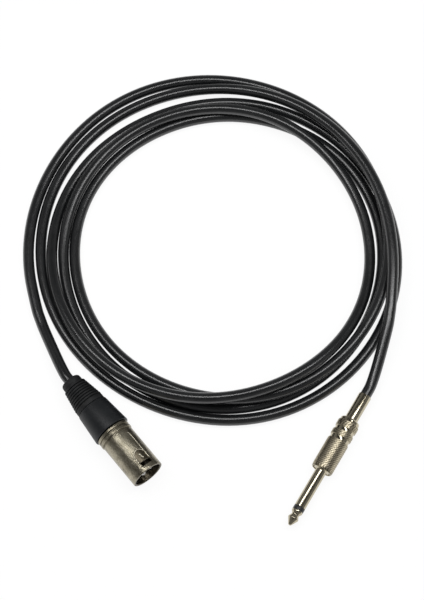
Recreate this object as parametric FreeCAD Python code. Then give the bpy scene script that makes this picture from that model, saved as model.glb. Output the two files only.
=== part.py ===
import FreeCAD, Part
import math
import os

# A coiled microphone cable with a three-pin plug on one end and a quarter-inch jack on the other.
# Millimetres, +Z up. The coil and both connectors lie on the floor at z = 0.
# The origin is on the floor, under the middle of the whole object's outline.

Vector = FreeCAD.Vector

# Cable
CABLE_DIAMETER = 6.3
LAY_GAP = 0.15            # clear space between turns that lie side by side
CABLE_SIDES = 8           # the cable and its cores are faceted, with their corners on the true circle
FLOOR_FLAT = 0.6          # depth that the coil is flattened where it rests
WIRE_DIAMETER = 1.4
WIRE_SIDES = 6
SHIELD_DIAMETER = 1.3

# Coil: each turn is placed at eight angles, one every 45 degrees, going clockwise seen from above.
# A place is (lane, level): lanes count cable pitches outwards from the innermost turn,
# levels count cable pitches up from the floor.
COIL_CENTRE_X = -0.2
COIL_CENTRE_Y = 29.5
INNER_LANE_RADIUS = 77.7
FIRST_ANGLE = 202.5
PLACES_PER_TURN = 8
TURNS = [
    [(4.58, 0.08), (4.27, 0.06), (4.29, 0.00), (4.03, 0.24),
     (3.66, 1.04), (3.74, 1.02), (3.43, 1.05), (1.88, 0.58)],
    [(0.61, 0.00), (0.01, 0.00), (0.00, 0.00), (1.01, 0.00),
     (2.70, 0.00), (3.30, 0.00), (3.61, 0.00), (2.72, 0.00)],
    [(1.69, 0.00), (0.89, 0.58), (0.68, 0.80), (1.10, 1.13),
     (1.60, 0.70), (2.35, 0.47), (2.92, 2.10), (3.12, 1.58)],
    [(2.62, 0.82), (1.96, 0.00), (1.42, 0.00), (2.37, 0.00),
     (3.73, 0.00), (4.88, 0.00), (4.90, 0.00), (3.88, 0.00)],
    [(3.36, 0.00), (3.25, 0.00), (3.25, 0.00), (3.17, 1.12),
     (3.29, 2.19), (4.85, 1.72)],
]
END_DRIFT = 3.1           # lanes per place by which the last turn leaves the coil
END_DROP = -1.9           # levels per place by which it comes down there
LEAD_RUN = 13.0           # first straight run of each lead after the coil
STRAIGHT_AT_PLUG = 14.0   # last run of each lead, in line with its connector

WIRE_FIRST_RUN = 1.5      # straight start of each core as it leaves the jacket

# Fits
SLIDE_GAP = 0.3           # between pieces that move on each other
SEAT_GAP = 0.05           # between pieces that are fitted together for good
EDGE_BREAK = 0.3          # small bevel on turned edges

# Three-pin plug: lengths run along its axis from the tail of the boot
XLR_TAIL_LANE = 6.02      # the boot's tail is placed by lane and angle around the coil
XLR_TAIL_ANGLE = 227.2
XLR_HEADING = -50.9
XLR_TILT = 3.0            # the cable holds the tail down, so the mouth stands a little higher
XLR_ROLL = -16.0          # latch window turned from the top towards the coil
BOOT_COLLAR_RADIUS = 6.1
BOOT_COLLAR_LENGTH = 3.6
BOOT_NECK_RADIUS = 5.7
RIB_COUNT = 8
RIB_PITCH = 1.65
RIB_FIRST_RADIUS = 6.95
RIB_LAST_RADIUS = 8.4
RIB_DEPTH = 0.75
RIB_CREST = 0.7
FIRST_RIB_AT = 4.9
NUT_START = 20.5
NUT_LENGTH = 17.8
NUT_REAR_RADIUS = 9.3
NUT_FRONT_RADIUS = 10.9
NUT_EDGE = 0.5
NUT_EDGE_DROP = 0.2
NUT_REAR_ROUNDING = 0.8
NUT_LIP_LENGTH = 2.3
NUT_LIP_RADIUS = 7.0
NUT_CHAMBER_RADIUS = 8.0
NUT_THREAD_LENGTH = 10.3
XLR_THREAD_RADIUS = 8.2
XLR_THREAD_LENGTH = 7.8
XLR_THREAD_PITCH = 1.25
XLR_UNSCREW_TURNS = 5     # turns until the last thread lets go
SHELL_RADIUS = 9.5
SHELL_WALL = 1.35
SHELL_LENGTH = 31.8       # from the rear ring to the mouth
SHELL_RING_RADIUS = 10.0
SHELL_RING_LENGTH = 1.8
SHELL_GROOVE_LENGTH = 0.75
SHELL_GROOVE_DEPTH = 0.75      # deep enough that its floor is not part of the shell's mating surface
SHELL_REAR_BORE = 6.9
MOUTH_DEPTH = 15.0
INSERT_LENGTH = 9.9
PIN_RADIUS = 1.2
PIN_CIRCLE_RADIUS = 3.81
PIN_LENGTH = 12.6
PIN_SHANK_RADIUS = 1.5    # thicker where the insert is moulded round it
CUP_RADIUS = 1.45
CUP_LENGTH = 4.5
CUP_BORE = 1.0
CUP_DEPTH = 3.0
CUP_OPEN_FROM = 0.3       # the cup's rear half is open above this height
CUP_APPROACH = 0.9        # straight run of a core behind its cup
WINDOW_WIDTH = 5.8
WINDOW_LENGTH = 2.7
WINDOW_FROM_MOUTH = 4.2   # middle of the latch window to the mouth
ARCH_WIDTH = 6.2
ARCH_LENGTH = 6.7
ARCH_DEPTH = 0.3
ARCH_BAR_LENGTH = 3.0
ARCH_BAR_WIDTH = 0.8
GUIDE_LINE_WIDTH = 0.6
GUIDE_LINE_LENGTH = 19.0
ARCH_BAR_SHIFT = 0.6      # the bar stands this far ahead of the bow's centre
KEY_WIDTH = 2.2           # ridge inside the mouth, opposite the latch window
KEY_HEIGHT = 0.8
KEY_FROM_MOUTH = 1.2
CHUCK_LENGTH = 8.0
CHUCK_REAR_RADIUS = 5.6
CHUCK_FLANGE_RADIUS = 7.6
CHUCK_FLANGE_LENGTH = 1.7
CHUCK_TAIL_LENGTH = 4.6
CHUCK_SLOT = 0.9
CHUCK_SLOT_PAST_FLANGE = 2.0
JACKET_PAST_CHUCK = 0.8
WIRE_SPREAD = 1.6         # the cores leave the jacket this far from its middle

# Jack: lengths run along its axis from the rear face of the tail tube
JACK_TAIL_LANE = 7.56
JACK_TAIL_ANGLE = 312.5
JACK_HEADING = -120.65
TAIL_RADIUS = 3.75
TAIL_WALL = 0.32
TAIL_LENGTH = 16.4
TAIL_INSIDE = 4.0
TAIL_FLANGE_RADIUS = 4.6
TAIL_FLANGE_LENGTH = 1.2
TAIL_BEAD_RADIUS = 4.1
TAIL_BEAD_LENGTH = 0.5
BARREL_LENGTH = 33.4
BARREL_RADIUS = 6.25
BARREL_REAR_RADIUS = 5.0
BARREL_SHOULDER_LENGTH = 0.9
BARREL_RECESS = 0.8       # depth of the seat for the tail tube's bead in the rear face
BARREL_LIP = 1.3
BARREL_BORE = 5.3
BARREL_EDGE = 0.4
GROOVE_RADIUS = 5.7
GROOVE_ENDS = [(0.0, 2.6), (6.5, 8.7), (12.0, 14.4)]  # each smooth ring, from the barrel's rear face
GROOVE_SIDE = 0.15        # run of each groove's sloping sides
JACK_THREAD_LENGTH = 6.0
JACK_THREAD_PITCH = 1.0
JACK_UNSCREW_TURNS = 5
PLUG_RADIUS = 3.175
PLUG_ROOT = 0.5           # how far the plug flares where it leaves the barrel
PLUG_SLEEVE_LENGTH = 23.8
PLUG_RING_LENGTH = 2.4
PLUG_TIP_LENGTH = 9.2
TIP_COLLAR_LENGTH = 1.0
TIP_WAIST_RADIUS = 2.0
TIP_WAIST_AT = 2.5
TIP_WAIST_FLAT = 0.4      # half the length of the waist's narrowest part
TIP_HEAD_RADIUS = 3.15
TIP_HEAD_AT = 4.9
TIP_END_RADIUS = 0.7
ROD_RADIUS = 1.2
CORE_TUBE_WALL = 1.0
LUG_THICKNESS = 0.6
LUG_RADIUS = 2.7
LUG_TAIL_LENGTH = 6.0
WASHER_LENGTH = 1.4
ROD_HEAD_RADIUS = 1.8
ROD_HEAD_LENGTH = 1.0
LINER_WALL = 0.4
LINER_LENGTH = 21.0
CLAMP_STRIP_WALL = 0.6
CLAMP_LENGTH = 4.0
CLAMP_FROM_TAIL = 2.4
CLAMP_OPENING = 70.0
JACKET_PAST_CLAMP = 1.0
STRIP_WIDTH_ANGLE = 56.0
WIRE_START_HEIGHT = 1.2   # the cores leave the jack's jacket this far above and below its middle
HOT_WIRE_SHORT = 1.2      # each core ends this far behind the tip lug
SHIELD_WIRE_SHORT = 3.0
SHIELD_WIRE_RUN = 4.0

# Values worked out from those above
CABLE_RADIUS = CABLE_DIAMETER / 2
PITCH = CABLE_DIAMETER + LAY_GAP
FLOOR_HEIGHT = CABLE_RADIUS - FLOOR_FLAT
NUT_FRONT = NUT_START + NUT_LENGTH
SHELL_REAR = NUT_FRONT + SLIDE_GAP
MOUTH = SHELL_REAR + SHELL_LENGTH
THREAD_REAR = SHELL_REAR - XLR_THREAD_LENGTH
INSERT_FRONT = MOUTH - MOUTH_DEPTH
INSERT_REAR = INSERT_FRONT - INSERT_LENGTH
SHELL_BORE = SHELL_RADIUS - SHELL_WALL
CHUCK_FLANGE_REAR = THREAD_REAR - CHUCK_FLANGE_LENGTH
CHUCK_REAR = CHUCK_FLANGE_REAR - CHUCK_TAIL_LENGTH + CHUCK_FLANGE_LENGTH
CHUCK_FRONT = CHUCK_REAR + CHUCK_LENGTH
XLR_CABLE_END = CHUCK_FRONT + JACKET_PAST_CHUCK
BARREL_FRONT = TAIL_LENGTH + BARREL_LENGTH
PLUG_FACE = BARREL_FRONT
COLLAR_REAR = PLUG_FACE - JACK_THREAD_LENGTH
COLLAR_RADIUS = BARREL_BORE - SLIDE_GAP
SLEEVE_END = PLUG_FACE + PLUG_SLEEVE_LENGTH
TIP_START = SLEEVE_END + PLUG_RING_LENGTH
TIP_END = TIP_START + PLUG_TIP_LENGTH
CORE_TUBE_RADIUS = ROD_RADIUS + SEAT_GAP + CORE_TUBE_WALL
GROUND_PLATE_REAR = COLLAR_REAR - LUG_THICKNESS
WASHER_REAR = GROUND_PLATE_REAR - WASHER_LENGTH
TIP_LUG_REAR = WASHER_REAR - LUG_THICKNESS
TAIL_INNER_END = TAIL_LENGTH + TAIL_INSIDE
LINER_RADIUS = BARREL_BORE - SLIDE_GAP
CLAMP_INNER = CABLE_RADIUS + SEAT_GAP
CLAMP_OUTER = CLAMP_INNER + CLAMP_STRIP_WALL
WASHER_RADIUS = CLAMP_OUTER - SEAT_GAP
CLAMP_REAR = TAIL_INNER_END + CLAMP_FROM_TAIL
JACK_CABLE_END = CLAMP_REAR + CLAMP_LENGTH + JACKET_PAST_CLAMP
NUT_TRAVEL = XLR_UNSCREW_TURNS * XLR_THREAD_PITCH
BARREL_TRAVEL = JACK_UNSCREW_TURNS * JACK_THREAD_PITCH


# Where the two connectors lie

def connector_place(tail, heading, tilt, roll):
    """Turn a connector that is built along +X, and put its tail face at its place."""
    turn = FreeCAD.Rotation(Vector(0, 0, 1), heading)
    turn = turn.multiply(FreeCAD.Rotation(Vector(0, 1, 0), -tilt))
    turn = turn.multiply(FreeCAD.Rotation(Vector(1, 0, 0), roll))
    return FreeCAD.Placement(tail, turn)


def around_coil(lane, angle, height):
    """A point at a lane and an angle around the middle of the coil."""
    radius = INNER_LANE_RADIUS + lane * PITCH
    turn = math.radians(angle)
    return Vector(COIL_CENTRE_X + radius * math.cos(turn), COIL_CENTRE_Y + radius * math.sin(turn), height)


def xlr_place():
    """The plug rests on the front rim of its gland nut, with its tail held down by the cable."""
    tilt = math.radians(XLR_TILT)
    rim = NUT_FRONT - NUT_EDGE
    tail_height = NUT_FRONT_RADIUS * math.cos(tilt) - rim * math.sin(tilt)
    tail = around_coil(XLR_TAIL_LANE, XLR_TAIL_ANGLE, tail_height)
    return connector_place(tail, XLR_HEADING, XLR_TILT, XLR_ROLL)


def jack_place():
    """The jack lies on its barrel."""
    tail = around_coil(JACK_TAIL_LANE, JACK_TAIL_ANGLE, BARREL_RADIUS)
    return connector_place(tail, JACK_HEADING, 0, 0)


XLR_PLACE = xlr_place()
JACK_PLACE = jack_place()


# Shapes used by several pieces

def revolved(outline):
    """Spin a closed outline of (along, radius) points about the connector's axis."""
    points = [Vector(along, 0, radius) for along, radius in outline]
    face = Part.Face(Part.makePolygon(points + points[:1]))
    return face.revolve(Vector(0, 0, 0), Vector(1, 0, 0), 360)


def rod(start, length, radius, y=0, z=0):
    """A cylinder along the connector's axis."""
    return Part.makeCylinder(radius, length, Vector(start, y, z), Vector(1, 0, 0))


def tube(start, length, outer, inner):
    """A plain tube along the connector's axis."""
    return rod(start, length, outer).cut(rod(start - 1, length + 2, inner))


def block(x, y, z):
    """A box from its lowest and highest value along each axis."""
    return Part.makeBox(x[1] - x[0], y[1] - y[0], z[1] - z[0], Vector(x[0], y[0], z[0]))


def wedge(start, length, reach, angle, middle):
    """A slice of a cylinder about the axis, centred on an angle measured from +Y towards +Z."""
    slice_solid = Part.makeCylinder(reach, length, Vector(start, 0, 0), Vector(1, 0, 0), angle)
    flat = slice_solid.CenterOfMass
    now = math.degrees(math.atan2(flat.z, flat.y))
    slice_solid.rotate(Vector(0, 0, 0), Vector(1, 0, 0), middle - now)
    return slice_solid


def arc_between(start, tangent, end):
    """The circular arc that leaves start along tangent and reaches end."""
    chord = end - start
    reach = chord.dot(chord) / (2 * chord.dot(tangent))
    corner = start + tangent * reach
    weight = chord.Length / (2 * reach)
    middle = (start + end + corner * (2 * weight)) * (1 / (2 + 2 * weight))
    return Part.Arc(start, middle, end)


def polygon_ring(start, tangent, radius, sides):
    """A regular polygon square to the path, with one flat side underneath."""
    side = tangent.cross(Vector(0, 0, 1)).normalize()
    up = side.cross(tangent)
    corners = []
    for count in range(sides):
        angle = 2 * math.pi * (count + 0.5) / sides
        corners.append(start + side * (radius * math.sin(angle)) + up * (radius * math.cos(angle)))
    return Part.makePolygon(corners + corners[:1])


def swept(path, radius, sides):
    """A faceted solid along a path of edges that already meet smoothly."""
    first = path[0]
    start = first.valueAt(first.FirstParameter)
    tangent = first.tangentAt(first.FirstParameter)
    ring = polygon_ring(start, tangent, radius, sides)
    solid = Part.Wire(path).makePipeShell([ring], True, False)
    length = sum(edge.Length for edge in path)
    section = sides / 2 * radius ** 2 * math.sin(2 * math.pi / sides)
    exact = section * length
    print("  length %.1f mm, volume %.4f of section times length" % (length, solid.Volume / exact))
    return solid


def rounded_route(points, name):
    """Straight runs through hand-chosen points, joined by tangent arcs as large as the runs allow."""
    edges = []
    start = points[0]
    radii = []
    for before, corner, after in zip(points, points[1:], points[2:]):
        run_in = corner - before
        run_out = after - corner
        turn = run_in.getAngle(run_out)
        trim = 0.45 * min(run_in.Length, run_out.Length)
        radii.append(trim / math.tan(turn / 2))
        arc_start = corner - run_in.normalize() * trim
        arc_end = corner + run_out.normalize() * trim
        edges.append(Part.LineSegment(start, arc_start).toShape())
        edges.append(arc_between(arc_start, run_in, arc_end).toShape())
        start = arc_end
    edges.append(Part.LineSegment(start, points[-1]).toShape())
    print(name, "bend radii", " ".join("%.0f" % radius for radius in radii))
    return edges


# The coil

def coil_places():
    """The radius, height and angle of every place of every turn."""
    places = []
    for lane, level in [place for turn in TURNS for place in turn]:
        angle = FIRST_ANGLE - len(places) * 360 / PLACES_PER_TURN
        places.append((INNER_LANE_RADIUS + lane * PITCH, FLOOR_HEIGHT + level * PITCH, math.radians(angle)))
    return places


def side_drift(places, index):
    """How fast the radius changes at a place, in mm per place."""
    if index == 0:
        return places[1][0] - places[0][0]
    if index == len(places) - 1:
        return END_DRIFT * PITCH
    return (places[index + 1][0] - places[index - 1][0]) / 2


def climb(places, index):
    """How fast the height changes at a place; it is level at each top, each dip and the start."""
    if index == 0:
        return 0
    if index == len(places) - 1:
        return END_DROP * PITCH
    rise_in = places[index][1] - places[index - 1][1]
    rise_out = places[index + 1][1] - places[index][1]
    return (rise_in + rise_out) / 2 if rise_in * rise_out > 0 else 0


def coil_nodes():
    """Each place as a point in space with the cable's direction there."""
    places = coil_places()
    step = math.radians(360 / PLACES_PER_TURN)
    centre = Vector(COIL_CENTRE_X, COIL_CENTRE_Y, 0)
    nodes = []
    for index, (radius, height, angle) in enumerate(places):
        outward = Vector(math.cos(angle), math.sin(angle), 0)
        clockwise = Vector(math.sin(angle), -math.cos(angle), 0)
        point = centre + outward * radius + Vector(0, 0, height)
        along = clockwise * (radius * step) + outward * side_drift(places, index)
        along = along + Vector(0, 0, climb(places, index))
        nodes.append((point, along.normalize()))
    return nodes


def biarc(start, leave, end, arrive):
    """Two arcs that join smoothly and take the given directions at both ends."""
    chord = end - start
    both = leave + arrive
    spread = 2 * (1 - leave.dot(arrive))
    reach = (math.sqrt(chord.dot(both) ** 2 + spread * chord.dot(chord)) - chord.dot(both)) / spread
    joint = (start + end + (leave - arrive) * reach) * 0.5
    first = arc_between(start, leave, joint).toShape()
    second = arc_between(end, arrive * -1, joint)
    second = Part.Arc(joint, second.value((second.FirstParameter + second.LastParameter) / 2), end).toShape()
    return [first, second]


def coil_path():
    """The whole coil, with a straight end of one cable diameter at each side."""
    nodes = coil_nodes()
    first_point, first_way = nodes[0]
    last_point, last_way = nodes[-1]
    path = [Part.LineSegment(first_point - first_way * CABLE_DIAMETER, first_point).toShape()]
    for (start, leave), (end, arrive) in zip(nodes, nodes[1:]):
        path.extend(biarc(start, leave, end, arrive))
    path.append(Part.LineSegment(last_point, last_point + last_way * CABLE_DIAMETER).toShape())
    return path


def least_gap(path):
    """The least clear space between two stretches of the coil, measured on points along it."""
    points = []
    walked = 0
    for edge in path:
        steps = max(2, int(edge.Length / 4))
        for count in range(steps):
            share = edge.FirstParameter + (edge.LastParameter - edge.FirstParameter) * count / steps
            points.append((walked + edge.Length * count / steps, edge.valueAt(share)))
        walked += edge.Length
    nearest = 1000.0
    for index, (along, point) in enumerate(points):
        for other_along, other in points[index + 1:]:
            if other_along - along > 15 * CABLE_DIAMETER:
                nearest = min(nearest, point.distanceToPoint(other))
    return nearest - CABLE_DIAMETER


def make_cable_coil():
    """One unbroken tube, flattened slightly where its lowest turns rest on the floor."""
    path = coil_path()
    print("cable_coil tightest radius %.0f mm, least gap to itself %.2f mm" % (
        min(edge.Curve.Radius for edge in path[1:-1]), least_gap(path)))
    solid = swept(path, CABLE_RADIUS, CABLE_SIDES)
    reach = 2 * INNER_LANE_RADIUS
    below = block((COIL_CENTRE_X - reach, COIL_CENTRE_X + reach), (COIL_CENTRE_Y - reach, COIL_CENTRE_Y + reach),
                  (-2 * CABLE_DIAMETER, 0))
    return solid.cut(below)


# The leads

def lead_points(coil_end, way, place):
    """Four points from the end of the coil to the tail of a connector."""
    tail = place.Base
    axis = place.Rotation.multVec(Vector(1, 0, 0))
    return [coil_end, coil_end + way * LEAD_RUN, tail - axis * STRAIGHT_AT_PLUG, tail]


def make_xlr_lead():
    """From the start of the coil up to the boot of the three-pin plug."""
    point, way = coil_nodes()[0]
    points = lead_points(point - way * CABLE_DIAMETER, way * -1, XLR_PLACE)
    return swept(rounded_route(points, "xlr_lead"), CABLE_RADIUS, CABLE_SIDES)


def make_jack_lead():
    """From the end of the coil, over the outermost turn, down to the tail tube of the jack."""
    point, way = coil_nodes()[-1]
    points = lead_points(point + way * CABLE_DIAMETER, way, JACK_PLACE)
    return swept(rounded_route(points, "jack_lead"), CABLE_RADIUS, CABLE_SIDES)


def straight_cable(length):
    """A straight stretch of cable along the connector's axis, from its tail."""
    along = Vector(1, 0, 0)
    return Part.Face(polygon_ring(Vector(0, 0, 0), along, CABLE_RADIUS, CABLE_SIDES)).extrude(along * length)


def make_xlr_cable_end():
    """The straight stretch inside the plug, from the boot's tail to where the jacket is stripped."""
    return straight_cable(XLR_CABLE_END)


def make_jack_cable_end():
    """The straight stretch inside the jack, through the tail tube and the clamp."""
    return straight_cable(JACK_CABLE_END)


# Three-pin plug

def make_xlr_boot():
    """A rubber boot with a rounded end bead and ribs that widen towards the gland nut."""
    bore = CABLE_RADIUS + SLIDE_GAP
    bead = BOOT_COLLAR_LENGTH / 4
    outline = [(0, bore), (0, BOOT_COLLAR_RADIUS - bead), (bead, BOOT_COLLAR_RADIUS),
               (3 * bead, BOOT_COLLAR_RADIUS), (BOOT_COLLAR_LENGTH, BOOT_NECK_RADIUS),
               (FIRST_RIB_AT - RIB_PITCH / 2, BOOT_NECK_RADIUS)]
    for count in range(RIB_COUNT):
        middle = FIRST_RIB_AT + count * RIB_PITCH
        crest = RIB_FIRST_RADIUS + (RIB_LAST_RADIUS - RIB_FIRST_RADIUS) * count / (RIB_COUNT - 1)
        outline.append((middle - RIB_CREST / 2, crest))
        outline.append((middle + RIB_CREST / 2, crest))
        outline.append((middle + RIB_PITCH / 2, crest - RIB_DEPTH))
    shoulder = NUT_START - SLIDE_GAP
    lip_radius = NUT_LIP_RADIUS - SLIDE_GAP
    flange_rear = NUT_START + NUT_LIP_LENGTH + SLIDE_GAP
    flange_radius = NUT_CHAMBER_RADIUS - SLIDE_GAP
    flange_front = CHUCK_REAR - SLIDE_GAP
    outline.extend([(shoulder, RIB_LAST_RADIUS), (shoulder, lip_radius),
                    (flange_rear, lip_radius), (flange_rear, flange_radius), (flange_front, flange_radius),
                    (flange_front, bore)])
    return revolved(outline)


def make_xlr_gland_nut():
    """The conical nut that screws over the shell's thread and holds the boot by its inner lip."""
    thread_rear = NUT_FRONT - NUT_THREAD_LENGTH
    thread_radius = XLR_THREAD_RADIUS + SLIDE_GAP
    return revolved([
        (NUT_START, NUT_LIP_RADIUS), (NUT_START, NUT_REAR_RADIUS - NUT_REAR_ROUNDING),
        (NUT_START + NUT_REAR_ROUNDING, NUT_REAR_RADIUS), (NUT_FRONT - NUT_EDGE, NUT_FRONT_RADIUS),
        (NUT_FRONT, NUT_FRONT_RADIUS - NUT_EDGE_DROP), (NUT_FRONT, thread_radius),
        (thread_rear, thread_radius), (thread_rear, NUT_CHAMBER_RADIUS),
        (NUT_START + NUT_LIP_LENGTH, NUT_CHAMBER_RADIUS), (NUT_START + NUT_LIP_LENGTH, NUT_LIP_RADIUS)])


def make_xlr_chuck():
    """The slit collet that grips the cable, with a flange that sits on the end of the shell's thread."""
    bore = CABLE_RADIUS + SEAT_GAP
    nose = SHELL_REAR_BORE - SEAT_GAP
    collet = revolved([
        (CHUCK_REAR, bore), (CHUCK_REAR, CHUCK_REAR_RADIUS), (CHUCK_FLANGE_REAR, CHUCK_REAR_RADIUS + 1),
        (CHUCK_FLANGE_REAR, CHUCK_FLANGE_RADIUS), (THREAD_REAR, CHUCK_FLANGE_RADIUS), (THREAD_REAR, nose),
        (CHUCK_FRONT, nose), (CHUCK_FRONT, bore)])
    slot_end = THREAD_REAR + CHUCK_SLOT_PAST_FLANGE
    reach = 2 * CHUCK_FLANGE_RADIUS
    for angle in (0, 90):
        slot = block((CHUCK_REAR - 1, slot_end), (-CHUCK_SLOT / 2, CHUCK_SLOT / 2), (-reach, reach))
        slot.rotate(Vector(0, 0, 0), Vector(1, 0, 0), angle)
        collet = collet.cut(slot)
    return collet


def shell_outline():
    """Half section of the shell: thread, two rear rings, body and a bore with a shoulder for the insert."""
    ring_1 = SHELL_REAR + SHELL_RING_LENGTH
    groove_1 = ring_1 + SHELL_GROOVE_LENGTH
    ring_2 = groove_1 + SHELL_RING_LENGTH
    groove_2 = ring_2 + SHELL_GROOVE_LENGTH
    groove = SHELL_RING_RADIUS - SHELL_GROOVE_DEPTH
    return [
        (THREAD_REAR, SHELL_REAR_BORE), (THREAD_REAR, XLR_THREAD_RADIUS), (SHELL_REAR, XLR_THREAD_RADIUS),
        (SHELL_REAR, SHELL_RING_RADIUS - EDGE_BREAK), (SHELL_REAR + EDGE_BREAK, SHELL_RING_RADIUS),
        (ring_1, SHELL_RING_RADIUS),
        (ring_1, groove), (groove_1, groove), (groove_1, SHELL_RING_RADIUS), (ring_2, SHELL_RING_RADIUS),
        (ring_2, groove), (groove_2, groove), (groove_2, SHELL_RADIUS), (MOUTH - EDGE_BREAK, SHELL_RADIUS),
        (MOUTH, SHELL_RADIUS - EDGE_BREAK), (MOUTH, SHELL_BORE + EDGE_BREAK), (MOUTH - EDGE_BREAK, SHELL_BORE),
        (INSERT_REAR, SHELL_BORE), (INSERT_REAR, SHELL_REAR_BORE)]


def latch_arch():
    """The arch-shaped recess behind the latch window, with its small raised bar left standing."""
    front = MOUTH - WINDOW_FROM_MOUTH - WINDOW_LENGTH / 2
    half = ARCH_WIDTH / 2
    bow = front - ARCH_LENGTH + half
    floor = SHELL_RADIUS - ARCH_DEPTH
    recess = block((bow, front), (-half, half), (floor, SHELL_RADIUS + 2))
    recess = recess.fuse(Part.makeCylinder(half, SHELL_RADIUS + 2 - floor, Vector(bow, 0, floor)))
    recess = recess.removeSplitter()
    recess = recess.cut(rod(bow - ARCH_LENGTH, 2 * ARCH_LENGTH, floor))
    middle = bow + ARCH_BAR_SHIFT
    bar = block((middle - ARCH_BAR_LENGTH / 2, middle + ARCH_BAR_LENGTH / 2),
                (-ARCH_BAR_WIDTH / 2, ARCH_BAR_WIDTH / 2), (0, SHELL_RADIUS + 3))
    return recess.cut(bar)


def key_ridge():
    """The ridge inside the mouth that a socket's keyway takes."""
    ridge = block((INSERT_FRONT + SEAT_GAP, MOUTH - KEY_FROM_MOUTH), (-KEY_WIDTH / 2, KEY_WIDTH / 2),
                  (-SHELL_BORE - SHELL_WALL / 2, -SHELL_BORE + KEY_HEIGHT))
    return ridge


def make_xlr_shell():
    """The metal shell, open at the mouth, with its latch window, arch recess, guide line and key."""
    shell = revolved(shell_outline()).fuse(key_ridge())
    window_middle = MOUTH - WINDOW_FROM_MOUTH
    window = block((window_middle - WINDOW_LENGTH / 2, window_middle + WINDOW_LENGTH / 2),
                   (-WINDOW_WIDTH / 2, WINDOW_WIDTH / 2), (0, SHELL_RADIUS + 2))
    line_front = window_middle - WINDOW_LENGTH / 2 - ARCH_LENGTH / 2
    line_edge = ARCH_WIDTH / 2
    line = block((line_front - GUIDE_LINE_LENGTH + ARCH_LENGTH, line_front),
                 (line_edge - GUIDE_LINE_WIDTH, line_edge), (0, SHELL_RADIUS + 2))
    line = line.cut(rod(0, 2 * MOUTH, SHELL_RADIUS - ARCH_DEPTH))
    return shell.cut(window).cut(latch_arch()).cut(line)


def pin_spots():
    """Where the three contacts stand: one and two level with the axis, three below it."""
    return [(PIN_CIRCLE_RADIUS, 0), (-PIN_CIRCLE_RADIUS, 0), (0, -PIN_CIRCLE_RADIUS)]


def make_xlr_insert():
    """The moulded disc that carries the contacts against the shell's shoulder."""
    body = rod(INSERT_REAR, INSERT_LENGTH, SHELL_BORE - SEAT_GAP)
    for y, z in pin_spots():
        body = body.cut(rod(INSERT_REAR - 1, INSERT_LENGTH + 2, PIN_SHANK_RADIUS + SEAT_GAP, y, z))
    return body


def make_xlr_pin(spot):
    """One contact: a round-ended pin, a thicker shank in the insert and a solder cup behind it."""
    tip = INSERT_FRONT + PIN_LENGTH
    rounding = PIN_RADIUS / 2
    pin = revolved([(INSERT_REAR, 0), (INSERT_REAR, PIN_SHANK_RADIUS), (INSERT_FRONT, PIN_SHANK_RADIUS),
                    (INSERT_FRONT, PIN_RADIUS), (tip - rounding, PIN_RADIUS),
                    (tip, PIN_RADIUS - rounding), (tip, 0)])
    cup = rod(INSERT_REAR - CUP_LENGTH, CUP_LENGTH, CUP_RADIUS)
    cup = cup.cut(rod(INSERT_REAR - CUP_LENGTH - 1, CUP_DEPTH + 1, CUP_BORE))
    cup = cup.cut(block((INSERT_REAR - CUP_LENGTH - 1, INSERT_REAR - CUP_LENGTH + CUP_DEPTH / 2),
                        (-CUP_RADIUS - 1, CUP_RADIUS + 1), (CUP_OPEN_FROM, CUP_RADIUS + 1)))
    pin = pin.fuse(cup)
    pin.translate(Vector(0, *spot))
    return pin


def make_wire(start, end, last_run, diameter, name):
    """A core from a stripped cable end to a terminal, straight at both ends."""
    points = [Vector(*start), Vector(start[0] + WIRE_FIRST_RUN, start[1], start[2]),
              Vector(end[0] - last_run, end[1], end[2]), Vector(*end)]
    return swept(rounded_route(points, name), diameter / 2, WIRE_SIDES)


def make_xlr_wire(number, diameter, name):
    """A core from the stripped end to the bottom of its solder cup."""
    y, z = pin_spots()[number - 1]
    share = WIRE_SPREAD / PIN_CIRCLE_RADIUS
    end = INSERT_REAR - CUP_LENGTH + CUP_DEPTH - SEAT_GAP
    start = (XLR_CABLE_END, y * share, z * share)
    return make_wire(start, (end, y, z), CUP_DEPTH + CUP_APPROACH, diameter, name)


# Jack

def make_jack_tail_tube():
    """The smooth tube that guards the cable, trapped in the barrel's rear lip by a bead and a flange."""
    inner = TAIL_RADIUS - TAIL_WALL
    bead_front = TAIL_LENGTH + TAIL_BEAD_LENGTH
    flange_rear = TAIL_LENGTH + BARREL_RECESS + BARREL_LIP + SLIDE_GAP
    flange_front = flange_rear + TAIL_FLANGE_LENGTH
    return revolved([
        (0, inner), (0, TAIL_RADIUS), (TAIL_LENGTH, TAIL_RADIUS), (TAIL_LENGTH, TAIL_BEAD_RADIUS),
        (bead_front, TAIL_BEAD_RADIUS), (bead_front, TAIL_RADIUS), (flange_rear, TAIL_RADIUS),
        (flange_rear, TAIL_FLANGE_RADIUS), (flange_front, TAIL_FLANGE_RADIUS), (flange_front, TAIL_RADIUS),
        (TAIL_INNER_END, TAIL_RADIUS), (TAIL_INNER_END, inner)])


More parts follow.
